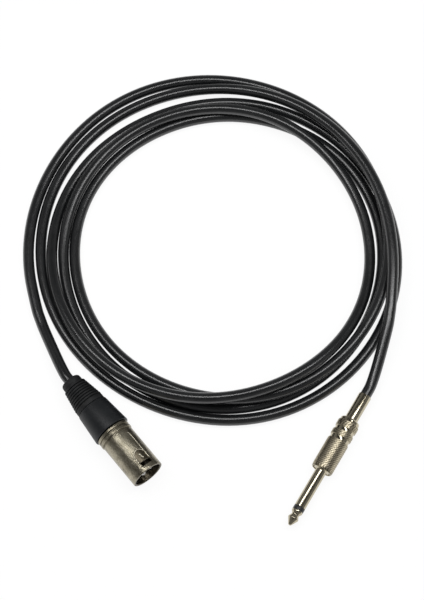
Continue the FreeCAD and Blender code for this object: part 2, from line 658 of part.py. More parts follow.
def make_jack_barrel():
    """The screw-on barrel, with smooth grooves turned between its knurled bands."""
    rear = TAIL_LENGTH
    lip_bore = TAIL_RADIUS + SLIDE_GAP
    recess_bore = TAIL_BEAD_RADIUS + SLIDE_GAP
    lip_rear = rear + BARREL_RECESS
    lip_front = lip_rear + BARREL_LIP
    outline = [(rear, recess_bore), (rear, BARREL_REAR_RADIUS), (rear + BARREL_SHOULDER_LENGTH, GROOVE_RADIUS)]
    for start, end in GROOVE_ENDS:
        if start > 0:
            outline.append((rear + start, BARREL_RADIUS))
            outline.append((rear + start + GROOVE_SIDE, GROOVE_RADIUS))
        outline.append((rear + end - GROOVE_SIDE, GROOVE_RADIUS))
        outline.append((rear + end, BARREL_RADIUS))
    outline.extend([
        (BARREL_FRONT - BARREL_EDGE, BARREL_RADIUS), (BARREL_FRONT, BARREL_RADIUS - BARREL_EDGE),
        (BARREL_FRONT, BARREL_BORE), (lip_front, BARREL_BORE), (lip_front, lip_bore), (lip_rear, lip_bore),
        (lip_rear, recess_bore)])
    return revolved(outline)


def make_jack_liner():
    """The insulating sleeve inside the barrel."""
    start = COLLAR_REAR - SEAT_GAP - LINER_LENGTH
    return tube(start, LINER_LENGTH, LINER_RADIUS, LINER_RADIUS - LINER_WALL)


def make_jack_plug_sleeve():
    """The plug's earthed body: a threaded collar inside the barrel and the long contact sleeve."""
    bore = CORE_TUBE_RADIUS + SEAT_GAP
    return revolved([
        (COLLAR_REAR, bore), (COLLAR_REAR, COLLAR_RADIUS), (PLUG_FACE - EDGE_BREAK, COLLAR_RADIUS),
        (PLUG_FACE - EDGE_BREAK, PLUG_RADIUS + PLUG_ROOT), (PLUG_FACE + EDGE_BREAK, PLUG_RADIUS),
        (SLEEVE_END, PLUG_RADIUS),
        (SLEEVE_END, bore)])


def make_jack_insulating_ring():
    """The black ring that keeps the tip apart from the sleeve."""
    return tube(SLEEVE_END, PLUG_RING_LENGTH, PLUG_RADIUS, ROD_RADIUS + SEAT_GAP)


def make_jack_tip():
    """The tip with its waist and pointed head, on the rod that runs back through the plug."""
    rod_rear = TIP_LUG_REAR
    head_rear = rod_rear - ROD_HEAD_LENGTH
    collar = TIP_START + TIP_COLLAR_LENGTH
    waist = TIP_START + TIP_WAIST_AT
    head = TIP_START + TIP_HEAD_AT
    return revolved([
        (head_rear, 0), (head_rear, ROD_HEAD_RADIUS - EDGE_BREAK), (rod_rear, ROD_HEAD_RADIUS), (rod_rear, ROD_RADIUS),
        (TIP_START, ROD_RADIUS), (TIP_START, PLUG_RADIUS), (collar - EDGE_BREAK, PLUG_RADIUS),
        (collar, PLUG_RADIUS - EDGE_BREAK), (waist - TIP_WAIST_FLAT, TIP_WAIST_RADIUS),
        (waist + TIP_WAIST_FLAT, TIP_WAIST_RADIUS), (head - EDGE_BREAK, TIP_HEAD_RADIUS - EDGE_BREAK),
        (head, TIP_HEAD_RADIUS), (head + EDGE_BREAK, TIP_HEAD_RADIUS),
        (TIP_END - TIP_END_RADIUS, TIP_END_RADIUS), (TIP_END, TIP_END_RADIUS / 2), (TIP_END, 0)])


def make_jack_core_tube():
    """The insulating tube between the rod and the sleeve."""
    length = SLEEVE_END - COLLAR_REAR
    return tube(COLLAR_REAR, length, CORE_TUBE_RADIUS, ROD_RADIUS + SEAT_GAP)


def make_jack_rear_washer():
    """The insulating washer between the earth clamp and the tip lug."""
    return tube(WASHER_REAR, WASHER_LENGTH, WASHER_RADIUS, ROD_RADIUS + SEAT_GAP)


def make_jack_tip_lug():
    """The tip's solder lug: a washer on the rod and a curved tail pointing back at the cable."""
    plate = tube(TIP_LUG_REAR, LUG_THICKNESS, LUG_RADIUS, ROD_RADIUS + SEAT_GAP)
    start = TIP_LUG_REAR - LUG_TAIL_LENGTH
    length = LUG_TAIL_LENGTH + LUG_THICKNESS
    tail = tube(start, length, LUG_RADIUS, LUG_RADIUS - LUG_THICKNESS)
    tail = tail.common(wedge(start, length, 2 * LUG_RADIUS, STRIP_WIDTH_ANGLE, 90))
    return plate.fuse(tail)


def make_jack_ground_clamp():
    """The earth lug: a washer at the collar, a strip back along the barrel and a clamp on the jacket."""
    strip_radius = CLAMP_OUTER + CLAMP_STRIP_WALL
    plate = tube(GROUND_PLATE_REAR, LUG_THICKNESS, strip_radius, ROD_RADIUS + SEAT_GAP)
    strip_length = COLLAR_REAR - CLAMP_REAR
    strip = tube(CLAMP_REAR, strip_length, strip_radius, CLAMP_OUTER)
    strip = strip.common(wedge(CLAMP_REAR, strip_length, 2 * strip_radius, STRIP_WIDTH_ANGLE, -90))
    clamp = tube(CLAMP_REAR, CLAMP_LENGTH, CLAMP_OUTER, CLAMP_INNER)
    clamp = clamp.cut(wedge(CLAMP_REAR - 1, CLAMP_LENGTH + 2, 2 * strip_radius, CLAMP_OPENING, 90))
    return plate.fuse(strip).fuse(clamp)


def make_jack_hot_wire():
    """The core that runs to the underside of the tip lug's tail."""
    height = LUG_RADIUS - LUG_THICKNESS - WIRE_DIAMETER / 2 - SEAT_GAP
    start = (JACK_CABLE_END, 0, WIRE_START_HEIGHT)
    end = (TIP_LUG_REAR - HOT_WIRE_SHORT, 0, height)
    return make_wire(start, end, LUG_TAIL_LENGTH, WIRE_DIAMETER, "jack_hot_wire")


def make_jack_shield_wire():
    """The braid, twisted together, laid on the earth strip."""
    depth = CLAMP_OUTER - SHIELD_DIAMETER / 2 - SEAT_GAP
    start = (JACK_CABLE_END, 0, -WIRE_START_HEIGHT)
    end = (TIP_LUG_REAR - SHIELD_WIRE_SHORT, 0, -depth)
    return make_wire(start, end, SHIELD_WIRE_RUN, SHIELD_DIAMETER, "jack_shield_wire")


# Write every piece

def pieces():
    """Every piece's name, the function that makes it and the place of the connector it belongs to."""
    spots = pin_spots()
    return [
        ("cable_coil", make_cable_coil, None),
        ("xlr_lead", make_xlr_lead, None),
        ("jack_lead", make_jack_lead, None),
        ("xlr_cable_end", make_xlr_cable_end, XLR_PLACE),
        ("xlr_boot", make_xlr_boot, XLR_PLACE),
        ("xlr_gland_nut", make_xlr_gland_nut, XLR_PLACE),
        ("xlr_chuck", make_xlr_chuck, XLR_PLACE),
        ("xlr_shell", make_xlr_shell, XLR_PLACE),
        ("xlr_insert", make_xlr_insert, XLR_PLACE),
        ("xlr_pin_1", lambda: make_xlr_pin(spots[0]), XLR_PLACE),
        ("xlr_pin_2", lambda: make_xlr_pin(spots[1]), XLR_PLACE),
        ("xlr_pin_3", lambda: make_xlr_pin(spots[2]), XLR_PLACE),
        ("xlr_shield_wire", lambda: make_xlr_wire(1, SHIELD_DIAMETER, "xlr_shield_wire"), XLR_PLACE),
        ("xlr_hot_wire", lambda: make_xlr_wire(2, WIRE_DIAMETER, "xlr_hot_wire"), XLR_PLACE),
        ("xlr_cold_wire", lambda: make_xlr_wire(3, WIRE_DIAMETER, "xlr_cold_wire"), XLR_PLACE),
        ("jack_cable_end", make_jack_cable_end, JACK_PLACE),
        ("jack_tail_tube", make_jack_tail_tube, JACK_PLACE),
        ("jack_barrel", make_jack_barrel, JACK_PLACE),
        ("jack_liner", make_jack_liner, JACK_PLACE),
        ("jack_plug_sleeve", make_jack_plug_sleeve, JACK_PLACE),
        ("jack_insulating_ring", make_jack_insulating_ring, JACK_PLACE),
        ("jack_tip", make_jack_tip, JACK_PLACE),
        ("jack_core_tube", make_jack_core_tube, JACK_PLACE),
        ("jack_rear_washer", make_jack_rear_washer, JACK_PLACE),
        ("jack_tip_lug", make_jack_tip_lug, JACK_PLACE),
        ("jack_ground_clamp", make_jack_ground_clamp, JACK_PLACE),
        ("jack_hot_wire", make_jack_hot_wire, JACK_PLACE),
        ("jack_shield_wire", make_jack_shield_wire, JACK_PLACE),
    ]


def main():
    os.makedirs("parts", exist_ok=True)
    whole = FreeCAD.BoundBox()
    for name, make, place in pieces():
        shape = make()
        if place is not None:
            shape.Placement = place.multiply(shape.Placement)
        box = shape.optimalBoundingBox()
        whole.add(box)
        print("%-22s solids %d valid %s volume %.1f z %.2f to %.2f" % (
            name, len(shape.Solids), shape.isValid(), shape.Volume, box.ZMin, box.ZMax))
        shape.exportStep("parts/%s.step" % name)
    print("gland nut backs off %.2f mm, barrel %.2f mm" % (NUT_TRAVEL, BARREL_TRAVEL))
    print("whole object x %.2f to %.2f, y %.2f to %.2f, z %.2f to %.2f" % (
        whole.XMin, whole.XMax, whole.YMin, whole.YMax, whole.ZMin, whole.ZMax))


main()
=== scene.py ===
"""Looks of a coiled microphone cable with a three-pin plug and a quarter-inch jack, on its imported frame."""

import logging
import math
from dataclasses import dataclass, field
from enum import Enum

import bmesh
import bpy
from mathutils import Euler, Matrix, Vector


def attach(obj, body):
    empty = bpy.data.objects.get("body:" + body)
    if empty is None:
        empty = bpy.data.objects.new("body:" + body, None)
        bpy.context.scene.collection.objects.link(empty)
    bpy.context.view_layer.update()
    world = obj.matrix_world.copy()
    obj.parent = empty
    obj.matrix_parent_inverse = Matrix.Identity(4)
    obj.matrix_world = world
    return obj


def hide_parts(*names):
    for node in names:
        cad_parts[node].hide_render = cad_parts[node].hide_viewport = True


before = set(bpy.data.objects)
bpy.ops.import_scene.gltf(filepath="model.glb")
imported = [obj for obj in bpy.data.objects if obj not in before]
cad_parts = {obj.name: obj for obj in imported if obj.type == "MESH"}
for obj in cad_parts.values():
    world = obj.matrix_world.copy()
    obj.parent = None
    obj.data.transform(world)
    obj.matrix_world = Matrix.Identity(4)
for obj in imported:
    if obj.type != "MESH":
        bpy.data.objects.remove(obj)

LOG = logging.getLogger("microphone_cable")

# Sizes are in millimetres until a matrix places them, and the sizes that are angles are in degrees
MM = 0.001
SLIDE_GAP = 0.3
SEAT_GAP = 0.05
MERGE_GAP = 0.002
CREASE = 32.0
SOFT_CREASE = 40.0
SPARE = 1.0
FULL_TURN = 2 * math.pi
ALONG_X = Matrix.Rotation(math.pi / 2, 4, "Y")

Piece = bpy.types.Object
Material = bpy.types.Material
Socket = bpy.types.NodeSocket
Colour = tuple[float, float, float]
Pair = tuple[float, float]
Outline = list[tuple[float, ...]]


# Shader maths and nodes

@dataclass(frozen=True)
class Signal:
    """A number socket of a material, which ordinary arithmetic extends by Math nodes."""

    paint: "Paint"
    socket: Socket

    def maths(self, operation: str, *values: "Signal | float") -> "Signal":
        """Join values by one Math node.

        Args:
            operation: The Math node's operation.
            values: Its inputs, in order.

        Returns:
            The node's result.
        """
        node = self.paint.node("ShaderNodeMath", {"operation": operation}, dict(enumerate(values)))
        return Signal(self.paint, node.outputs[0])

    def __add__(self, other: "Signal | float") -> "Signal":
        """Add a number or a signal."""
        return self.maths("ADD", self, other)

    def __radd__(self, other: float) -> "Signal":
        """Add to a number."""
        return self.maths("ADD", other, self)

    def __rsub__(self, other: float) -> "Signal":
        """Take this signal from a number."""
        return self.maths("SUBTRACT", other, self)

    def __mul__(self, other: "Signal | float") -> "Signal":
        """Multiply by a number or a signal."""
        return self.maths("MULTIPLY", self, other)

    def __rmul__(self, other: float) -> "Signal":
        """Multiply a number."""
        return self.maths("MULTIPLY", other, self)

    def __pow__(self, other: float) -> "Signal":
        """Raise to a power."""
        return self.maths("POWER", self, other)

    def sine(self) -> "Signal":
        """The sine of this signal, in radians."""
        return self.maths("SINE", self)

    def at_least(self, other: "Signal | float") -> "Signal":
        """The larger of this and another signal."""
        return self.maths("MAXIMUM", self, other)

    def between(self, low: float, high: float) -> "Signal":
        """A smooth step.

        Args:
            low: Where the result starts to leave 0.
            high: Where it reaches 1.

        Returns:
            A signal from 0 to 1.
        """
        node = self.paint.node("ShaderNodeMapRange", {"interpolation_type": "SMOOTHSTEP"},
                               {"Value": self, "From Min": low, "From Max": high})
        return Signal(self.paint, node.outputs[0])


@dataclass(frozen=True)
class Grain:
    """Soft noise: how fine it is, its octaves and the share of each finer one, and what it does.

    It may stand out as relief, dull the gloss, and part two colours between the two levels of its edge.
    """

    per_mm: float
    detail: float = 2.0
    rough: float = 0.5
    depth_mm: float = 0.0
    dulls: float = 0.0
    edge: Pair = (0.3, 0.7)


class Paint:
    """One material: its nodes, ending in a Principled shader."""

    def __init__(self, name: str, **constants: float) -> None:
        """Make the material.

        Args:
            name: The material's name.
            constants: Values set straight on the shader's sockets, with spaces as underscores.
        """
        self.material = bpy.data.materials.new(name)
        self.material.use_nodes = True
        self.tree = self.material.node_tree
        self.shader = self.tree.nodes["Principled BSDF"]
        for key, value in constants.items():
            label = key.replace("_", " ").title().replace("Ior", "IOR")
            self.shader.inputs[label].default_value = value

    def node(self, kind: str, settings: dict | None = None, sockets: dict | None = None) -> bpy.types.Node:
        """Add a node.

        Args:
            kind: The node's type.
            settings: Its properties, set first.
            sockets: Values or links of its inputs, by name or number.

        Returns:
            The new node.
        """
        node = self.tree.nodes.new(kind)
        for name, value in (settings or {}).items():
            setattr(node, name, value)
        for name, value in (sockets or {}).items():
            self.feed(node.inputs[name], value)
        return node

    def feed(self, socket: Socket, value: Signal | Socket | float | tuple) -> None:
        """Link or set one input.

        Args:
            socket: The input.
            value: A signal, an output socket or a plain value.
        """
        if isinstance(value, Signal):
            value = value.socket
        if isinstance(value, Socket):
            self.tree.links.new(value, socket)
        else:
            socket.default_value = value

    def place(self) -> Socket:
        """Object coordinates in metres."""
        return self.node("ShaderNodeTexCoord").outputs["Object"]

    def place_mm(self) -> Socket:
        """Object coordinates in millimetres."""
        sockets = {0: self.place(), "Scale": 1 / MM}
        return self.node("ShaderNodeVectorMath", {"operation": "SCALE"}, sockets).outputs[0]

    def split(self, place: Socket) -> list[Signal]:
        """The three numbers of a vector."""
        return [Signal(self, output) for output in self.node("ShaderNodeSeparateXYZ", {}, {0: place}).outputs]

    def noise(self, place: Socket, grain: Grain) -> Signal:
        """Soft noise around one half, at a place in millimetres."""
        sockets = {"Vector": place, "Scale": grain.per_mm, "Detail": grain.detail, "Roughness": grain.rough}
        return Signal(self, self.node("ShaderNodeTexNoise", {}, sockets).outputs[0])

    def mix(self, below: Colour | Socket, over: Colour, share: Signal) -> Socket:
        """Lay one colour over another.

        Args:
            below: The colour at share 0.
            over: The colour at share 1.
            share: The mixing signal.

        Returns:
            The mixed colour's socket.
        """
        if isinstance(below, tuple):
            below = (*below, 1.0)
        sockets = {0: share, 6: below, 7: (*over, 1.0)}
        return self.node("ShaderNodeMix", {"data_type": "RGBA"}, sockets).outputs[2]

    def finish(self, colour: Socket, roughness: Signal, height: Signal, depth_mm: float) -> Material:
        """Feed the shader.

        Args:
            colour: The base colour.
            roughness: The roughness.
            height: Relief from 0 to 1.
            depth_mm: How deep the relief is.

        Returns:
            The finished material.
        """
        bump = self.node("ShaderNodeBump", {}, {"Height": height, "Distance": depth_mm * MM})
        self.feed(self.shader.inputs["Base Color"], colour)
        self.feed(self.shader.inputs["Roughness"], roughness)
        self.feed(self.shader.inputs["Normal"], bump.outputs["Normal"])
        return self.material


# Where things lie

@dataclass(frozen=True)
class Seat:
    """Where a connector lies: its tail face's middle in millimetres, and how it is turned in degrees."""

    x: float
    y: float
    z: float
    heading: float
    tilt: float
    roll: float

    def turn(self) -> Matrix:
        """Turn the connector's own +X, its axis, to where it points in the frame.

        Returns:
            The rotation.
        """
        turns = ((self.heading, "Z"), (-self.tilt, "Y"), (self.roll, "X"))
        yaw, lift, roll = (Matrix.Rotation(math.radians(angle), 4, axis) for angle, axis in turns)
        return yaw @ lift @ roll

    def matrix(self) -> Matrix:
        """From the connector's own millimetres to the frame's metres."""
        tail = Vector((self.x, self.y, self.z)) * MM
        return Matrix.Translation(tail) @ self.turn() @ Matrix.Scale(MM, 4)

    def point(self, along: float) -> Vector:
        """A point of the connector's axis, in the frame's metres."""
        return self.matrix() @ Vector((along, 0.0, 0.0))

    def coordinates(self, paint: Paint) -> Socket:
        """The connector's own coordinates in a material.

        Args:
            paint: The material that reads them.

        Returns:
            A vector in millimetres: along the axis, to its side, and up.
        """
        back = self.turn().transposed()
        shift = back @ Vector((-self.x, -self.y, -self.z))
        mapping = paint.node("ShaderNodeMapping", {}, {
            "Vector": paint.place(), "Location": tuple(shift), "Rotation": tuple(back.to_euler("XYZ")),
            "Scale": (1 / MM, 1 / MM, 1 / MM)})
        return mapping.outputs[0]


# Finishes

class Surface(Enum):
    """How a moulded or plated surface is left, by the grain of its skin."""

    SMOOTH = Grain(0.9, 4.0, 0.65, depth_mm=0.015, dulls=0.12)
    SPARKED = Grain(2.6, 4.0, 0.65, depth_mm=0.06, dulls=0.12)
    POLISHED = Grain(0.5, depth_mm=0.01)
    CAST = Grain(2.0, 4.0, 0.7, depth_mm=0.11)
    KNURLED = Grain(3.0, 3.0, 0.7, depth_mm=0.05)


@dataclass(frozen=True)
class SatinJacket:
    """Smooth black cable jacket, with faint handling marks and a little dust."""

    deep: Colour = (0.0042, 0.0046, 0.0051)
    worn: Colour = (0.0072, 0.0077, 0.0084)
    dust: Colour = (0.12, 0.12, 0.115)
    gloss: float = 0.17
    dust_share: float = 0.5
    marks: Grain = Grain(0.07, 3.0, 0.6, dulls=0.10, edge=(0.35, 0.7))
    skin: Grain = Grain(0.5, 3.0, 0.55, depth_mm=0.003, dulls=0.06)
    specks: Grain = Grain(1.1, 1.0, dulls=0.3, edge=(0.80, 0.84))

    def material(self) -> Material:
        """Build the material.

        Returns:
            The jacket's material.
        """
        paint = Paint("cable_jacket", specular_ior_level=0.9)
        place = paint.place_mm()
        marks = paint.noise(place, self.marks)
        skin = paint.noise(place, self.skin)
        specks = paint.noise(place, self.specks).between(*self.specks.edge)
        base = paint.mix(self.deep, self.worn, marks.between(*self.marks.edge))
        base = paint.mix(base, self.dust, specks * self.dust_share)
        roughness = self.gloss + self.marks.dulls * marks + self.skin.dulls * skin
        roughness = roughness + self.specks.dulls * specks
        return paint.finish(base, roughness, skin, self.skin.depth_mm)


@dataclass(frozen=True)
class MouldedRubber:
    """Matt black rubber with a fine moulded grain and paler worn patches."""

    seat: Seat
    deep: Colour = (0.0060, 0.0063, 0.0068)
    # On the boot this paler colour marks worn patches only.
    wear_and_highlight: Colour = (0.016, 0.0165, 0.017)
    gloss: float = 0.50
    rubbed_share: float = 0.6
    grain: Grain = Grain(3.2, 3.0, 0.6, depth_mm=0.05, dulls=0.16)
    patches: Grain = Grain(0.22, dulls=0.08, edge=(0.4, 0.75))

    def material(self) -> Material:
        """Build the material.

        Returns:
            The boot's material.
        """
        paint = Paint("boot_rubber", specular_ior_level=0.4)
        place = self.seat.coordinates(paint)
        grain = paint.noise(place, self.grain)
        patches = paint.noise(place, self.patches)
        base = paint.mix(self.deep, self.wear_and_highlight, patches.between(*self.patches.edge) * self.rubbed_share)
        roughness = self.gloss + self.grain.dulls * grain + self.patches.dulls * patches
        return paint.finish(base, roughness, grain, self.grain.depth_mm)


@dataclass(frozen=True)
class MouldedPlastic:
    """Moulded plastic, spark-textured outside or smooth inside."""

    name: str
    seat: Seat
    deep: Colour
    light: Colour
    gloss: float
    surface: Surface = Surface.SMOOTH
    flow: Grain = Grain(0.12, dulls=0.06, edge=(0.3, 0.8))
    flow_share: float = 0.7

    def material(self) -> Material:
        """Build the material.

        Returns:
            The plastic's material.
        """
        paint = Paint(self.name, specular_ior_level=0.45)
        place = self.seat.coordinates(paint)
        skin = self.surface.value
        grain, flow = paint.noise(place, skin), paint.noise(place, self.flow)
        share = flow.between(*self.flow.edge) * self.flow_share + grain * (1 - self.flow_share)
        base = paint.mix(self.deep, self.light, share)
        roughness = self.gloss + skin.dulls * grain + self.flow.dulls * flow
        return paint.finish(base, roughness, grain, skin.depth_mm)


@dataclass(frozen=True)
class PlatedMetal:
    """Plated metal: polished, cast with a speckled skin, or finely knurled."""

    name: str
    seat: Seat
    deep: Colour
    bright: Colour
    gloss: float
    surface: Surface = Surface.POLISHED
    worked_from: Pair | None = None
    # The hollow colour fills places inside the worked radius: on the cast shell it is a darker painted shade
    # in the recesses and inside, on the barrel the smooth grooves' own colour.
    hollow: Colour | None = None
    hollow_gloss: float = 0.0
    # The valley colour is painted shade: it darkens the knurl's pressed points.
    valley: Colour = (0.20, 0.175, 0.12)
    valley_shade_edge: Pair = (5.96, 6.14)
    smudges: Grain = Grain(0.18, 3.0, 0.6, dulls=0.06)
    specks: Grain = Grain(1.4, 3.0, 0.65, dulls=0.05)
    speck_share: float = 0.5

    @staticmethod
    def radius(paint: Paint, place: Socket) -> Signal:
        """The distance from the connector's axis."""
        _, side, up = paint.split(place)
        return (side * side + up * up) ** 0.5

    def material(self) -> Material:
        """Build the material, with turned and hollow places smoother than the worked outside.

        Returns:
            The metal's material.
        """
        paint = Paint(self.name, metallic=1.0)
        place = self.seat.coordinates(paint)
        relief = paint.noise(place, self.surface.value)
        smudges, specks = paint.noise(place, self.smudges), paint.noise(place, self.specks)
        smudged = smudges.between(*self.smudges.edge) * (1 - self.speck_share)
        specked = specks.between(*self.specks.edge) * self.speck_share
        base = paint.mix(self.deep, self.bright, smudged + specked)
        roughness = self.gloss + self.smudges.dulls * smudges + self.specks.dulls * specks
        if self.worked_from:
            radius = self.radius(paint, place)
            inside = 1.0 - radius.between(*self.worked_from)
            # Painted shade: the knurl's pressed points darken towards the valley colour.
            if self.surface is Surface.KNURLED:
                base = paint.mix(base, self.valley, 1.0 - radius.between(*self.valley_shade_edge))
            # On the cast shell the hollow colour is painted shade; on the barrel it is the smooth grooves'
            # own colour.
            base = paint.mix(base, self.hollow, inside)
            roughness = roughness + (self.hollow_gloss - self.gloss) * inside
            relief = relief * (1.0 - inside)
        return paint.finish(base, roughness, relief, self.surface.value.depth_mm)


@dataclass(frozen=True)
class CopperBraid:
    """Fine copper strands twisted together."""

    dull: Colour = (0.36, 0.15, 0.08)
    bright: Colour = (0.72, 0.40, 0.26)
    gloss: float = 0.32
    wear: Grain = Grain(0.8, 3.0, 0.6, dulls=0.1)
    strands_per_mm: float = 14.0
    strand_depth_mm: float = 0.08

    def material(self) -> Material:
        """Build the material.

        Returns:
            The braid's material.
        """
        paint = Paint("copper_braid", metallic=1.0)
        place = paint.place_mm()
        along, side, up = paint.split(place)
        strands = ((along + side + up) * self.strands_per_mm).sine()
        wear = paint.noise(place, self.wear)
        base = paint.mix(self.dull, self.bright, wear.between(*self.wear.edge))
        return paint.finish(base, self.gloss + self.wear.dulls * wear, strands, self.strand_depth_mm)


# Making pieces

@dataclass(frozen=True)
class Corner:
    """A corner of a turned outline: along the axis, out from it, and how far its rounding reaches."""

    along: float
    out: float
    rounding: float = 0.0


def place_mesh(mesh: bpy.types.Mesh, matrix: Matrix, crease: float) -> None:
    """Put a mesh in its place and shade it smooth.

    Args:
        mesh: The mesh.
        matrix: From its millimetres to the frame's metres.
        crease: Edges sharper than this many degrees stay sharp.
    """
    mesh.transform(matrix)
    mesh.shade_smooth()
    mesh.set_sharp_from_angle(angle=math.radians(crease))


def linked(name: str, data: bpy.types.ID) -> Piece:
    """A new object of the scene.

    Args:
        name: Its name.
        data: Its mesh, curve, camera or lamp.

    Returns:
        The object.
    """
    piece = bpy.data.objects.new(name, data)
    bpy.context.scene.collection.objects.link(piece)
    return piece


def collect(name: str, bm: bmesh.types.BMesh, matrix: Matrix, crease: float = CREASE) -> Piece:
    """Turn a bmesh in millimetres into a finished object.

    Args:
        name: The piece's name.
        bm: Its shape; it is freed.
        matrix: From its millimetres to the frame's metres.
        crease: Edges sharper than this many degrees stay sharp.

    Returns:
        The object.
    """
    bmesh.ops.remove_doubles(bm, verts=bm.verts, dist=MERGE_GAP)
    bmesh.ops.recalc_face_normals(bm, faces=bm.faces)
    mesh = bpy.data.meshes.new(name)
    bm.to_mesh(mesh)
    bm.free()
    place_mesh(mesh, matrix, crease)
    return linked(name, mesh)


def loose(name: str, bm: bmesh.types.BMesh) -> Piece:
    """A loose object in its connector's millimetres, for cutting."""
    return collect(name, bm, Matrix.Identity(4))


def spun(outline: Outline, steps: int) -> bmesh.types.BMesh:
    """Spin an outline about the X axis.

    Args:
        outline: The numbers of its corners; it closes by itself unless both ends lie on the axis.
        steps: Faces around.

    Returns:
        The shape.
    """
    bm = bmesh.new()
    corners = [Corner(*numbers) for numbers in outline]
    verts = [bm.verts.new((corner.along, 0.0, corner.out)) for corner in corners]
    for pair in zip(verts, verts[1:]):
        bm.edges.new(pair)
    if corners[0].out > 0 or corners[-1].out > 0:
        bm.edges.new((verts[-1], verts[0]))
    for reach in sorted({corner.rounding for corner in corners} - {0.0}):
        chosen = [vert for vert, corner in zip(verts, corners) if corner.rounding == reach]
        bmesh.ops.bevel(bm, geom=chosen, offset=reach, segments=4, profile=0.5, affect="VERTICES",
                        material=-1)
    bmesh.ops.spin(bm, geom=[*bm.verts, *bm.edges], cent=(0, 0, 0), axis=(1, 0, 0), angle=FULL_TURN,
                   steps=steps, use_merge=True)
    return bm


def turned(name: str, seat: Seat, outline: Outline, steps: int = 96, crease: float = CREASE) -> Piece:
    """A piece turned about its connector's axis.

    Args:
        name: The piece's name.
        seat: Where its connector lies.
        outline: The corners of its half section.
        steps: Faces around.
        crease: Edges sharper than this many degrees stay sharp.

    Returns:
        The finished object.
    """
    return collect(name, spun(outline, steps), seat.matrix(), crease)


@dataclass(frozen=True)
class Thread:
    """A screw thread: its crest's radius, its depth and pitch, and the shape of its ridge."""

    crest: float
    depth: float
    pitch: float
    foot_share: float = 0.42
    half_flat: float = 0.08
    sunk: float = 0.1
    steps_per_turn: int = 40

    @property
    def root(self) -> float:
        """The radius of the thread's root."""
        return self.crest - self.depth

    def ridge(self, name: str, seat: Seat, start: float, end: float) -> Piece:
        """The helical ridge, made by a spin that moves along the axis.

        Args:
            name: The piece's name.
            seat: Where its connector lies.
            start: Where it starts along the axis.
            end: Where it ends.

        Returns:
            The finished object.
        """
        half = self.foot_share * self.pitch
        first = start + half
        turns = (end - start - 2 * half) / self.pitch
        steps = int(turns * self.steps_per_turn)
        foot = self.root - self.sunk
        profile = [(first - half, foot), (first - self.half_flat, self.crest),
                   (first + self.half_flat, self.crest), (first + half, foot)]
        bm = bmesh.new()
        verts = [bm.verts.new((along, 0.0, out)) for along, out in profile]
        face = bm.faces.new(verts)
        bmesh.ops.spin(bm, geom=[face, *face.edges, *verts], cent=(0, 0, 0), axis=(1, 0, 0),
                       angle=FULL_TURN * turns, steps=steps, dvec=(turns * self.pitch / steps, 0, 0))
        return collect(name, bm, seat.matrix())


def block(name: str, low: tuple, high: tuple) -> Piece:
    """A loose box.

    Args:
        name: Its name.
        low: Its lowest corner.
        high: Its highest corner.

    Returns:
        The box, in its connector's millimetres.
    """
    bm = bmesh.new()
    size = Vector(high) - Vector(low)
    middle = (Vector(high) + Vector(low)) / 2
    bmesh.ops.create_cube(bm, size=1.0, matrix=Matrix.Translation(middle) @ Matrix.Diagonal((*size, 1.0)))
    return loose(name, bm)


def rod(name: str, radius: float, length: float, steps: int, matrix: Matrix) -> Piece:
    """A loose cylinder.

    Args:
        name: Its name.
        radius: Its radius.
        length: Its length.
        steps: Faces around.
        matrix: Where it stands, from upright about the origin.

    Returns:
        The cylinder, in its connector's millimetres.
    """
    bm = bmesh.new()
    bmesh.ops.create_cone(bm, cap_ends=True, segments=steps, radius1=radius, radius2=radius, depth=length,
                          matrix=matrix)
    return loose(name, bm)


def apply_modifiers(body: Piece) -> None:
    """Make what a body's modifiers show its own mesh.

    Args:
        body: The body; its modifiers go.
    """
    graph = bpy.context.evaluated_depsgraph_get()
    mesh = bpy.data.meshes.new_from_object(body.evaluated_get(graph))
    body.modifiers.clear()
    old = body.data
    body.data = mesh
    bpy.data.meshes.remove(old)


class Join(Enum):
    """What one loose object does to another."""

    CUT = "DIFFERENCE"
    ADD = "UNION"


def combine(body: Piece, other: Piece, join: Join) -> None:
    """Cut one loose object by another or join them, and drop the second.

    Args:
        body: The object that changes.
        other: The object that is used up.
        join: What the second does to the first.
    """
    modifier = body.modifiers.new("combine", "BOOLEAN")
    modifier.operation = join.value
    modifier.object = other
    modifier.solver = "EXACT"
    apply_modifiers(body)
    bpy.data.objects.remove(other)


def settle(body: Piece, seat: Seat, edge_mm: float) -> None:
    """Round a cut body's sharp edges and put it in its place.

    Args:
        body: An object in its connector's millimetres.
        seat: Where its connector lies.
        edge_mm: How far the edges are rounded.
    """
    bm = bmesh.new()
    bm.from_mesh(body.data)
    bmesh.ops.remove_doubles(bm, verts=bm.verts, dist=MERGE_GAP)
    bmesh.ops.dissolve_limit(bm, angle_limit=math.radians(1.0), verts=bm.verts, edges=bm.edges)
    bm.to_mesh(body.data)
    bm.free()
    modifier = body.modifiers.new("edges", "BEVEL")
    modifier.width = edge_mm
    modifier.segments = 2
    modifier.limit_method = "ANGLE"
    modifier.angle_limit = math.radians(CREASE)
    apply_modifiers(body)
    place_mesh(body.data, seat.matrix(), CREASE)


def smooth_line(name: str, points: list[Vector], diameter: float, matrix: Matrix, round_steps: int = 3,
                length_steps: int = 6) -> Piece:
    """A round line along a quadratic spline through its route.

    Args:
        name: The piece's name.
        points: Its control points.
        diameter: Its thickness, in the points' units.
        matrix: From the points' units to the frame's metres.
        round_steps: Fineness around.
        length_steps: Fineness along, for each control point.

    Returns:
        The curve object.
    """
    curve = bpy.data.curves.new(name, "CURVE")
    curve.dimensions = "3D"
    curve.bevel_depth = diameter / 2 * matrix.to_scale().x
    curve.bevel_resolution = round_steps
    curve.resolution_u = length_steps
    curve.use_fill_caps = True
    spline = curve.splines.new("NURBS")
    spline.points.add(len(points) - 1)
    for point, place in zip(spline.points, points):
        point.co = (*(matrix @ place), 1.0)
    spline.order_u = 3
    spline.use_endpoint_u = True
    return linked(name, curve)


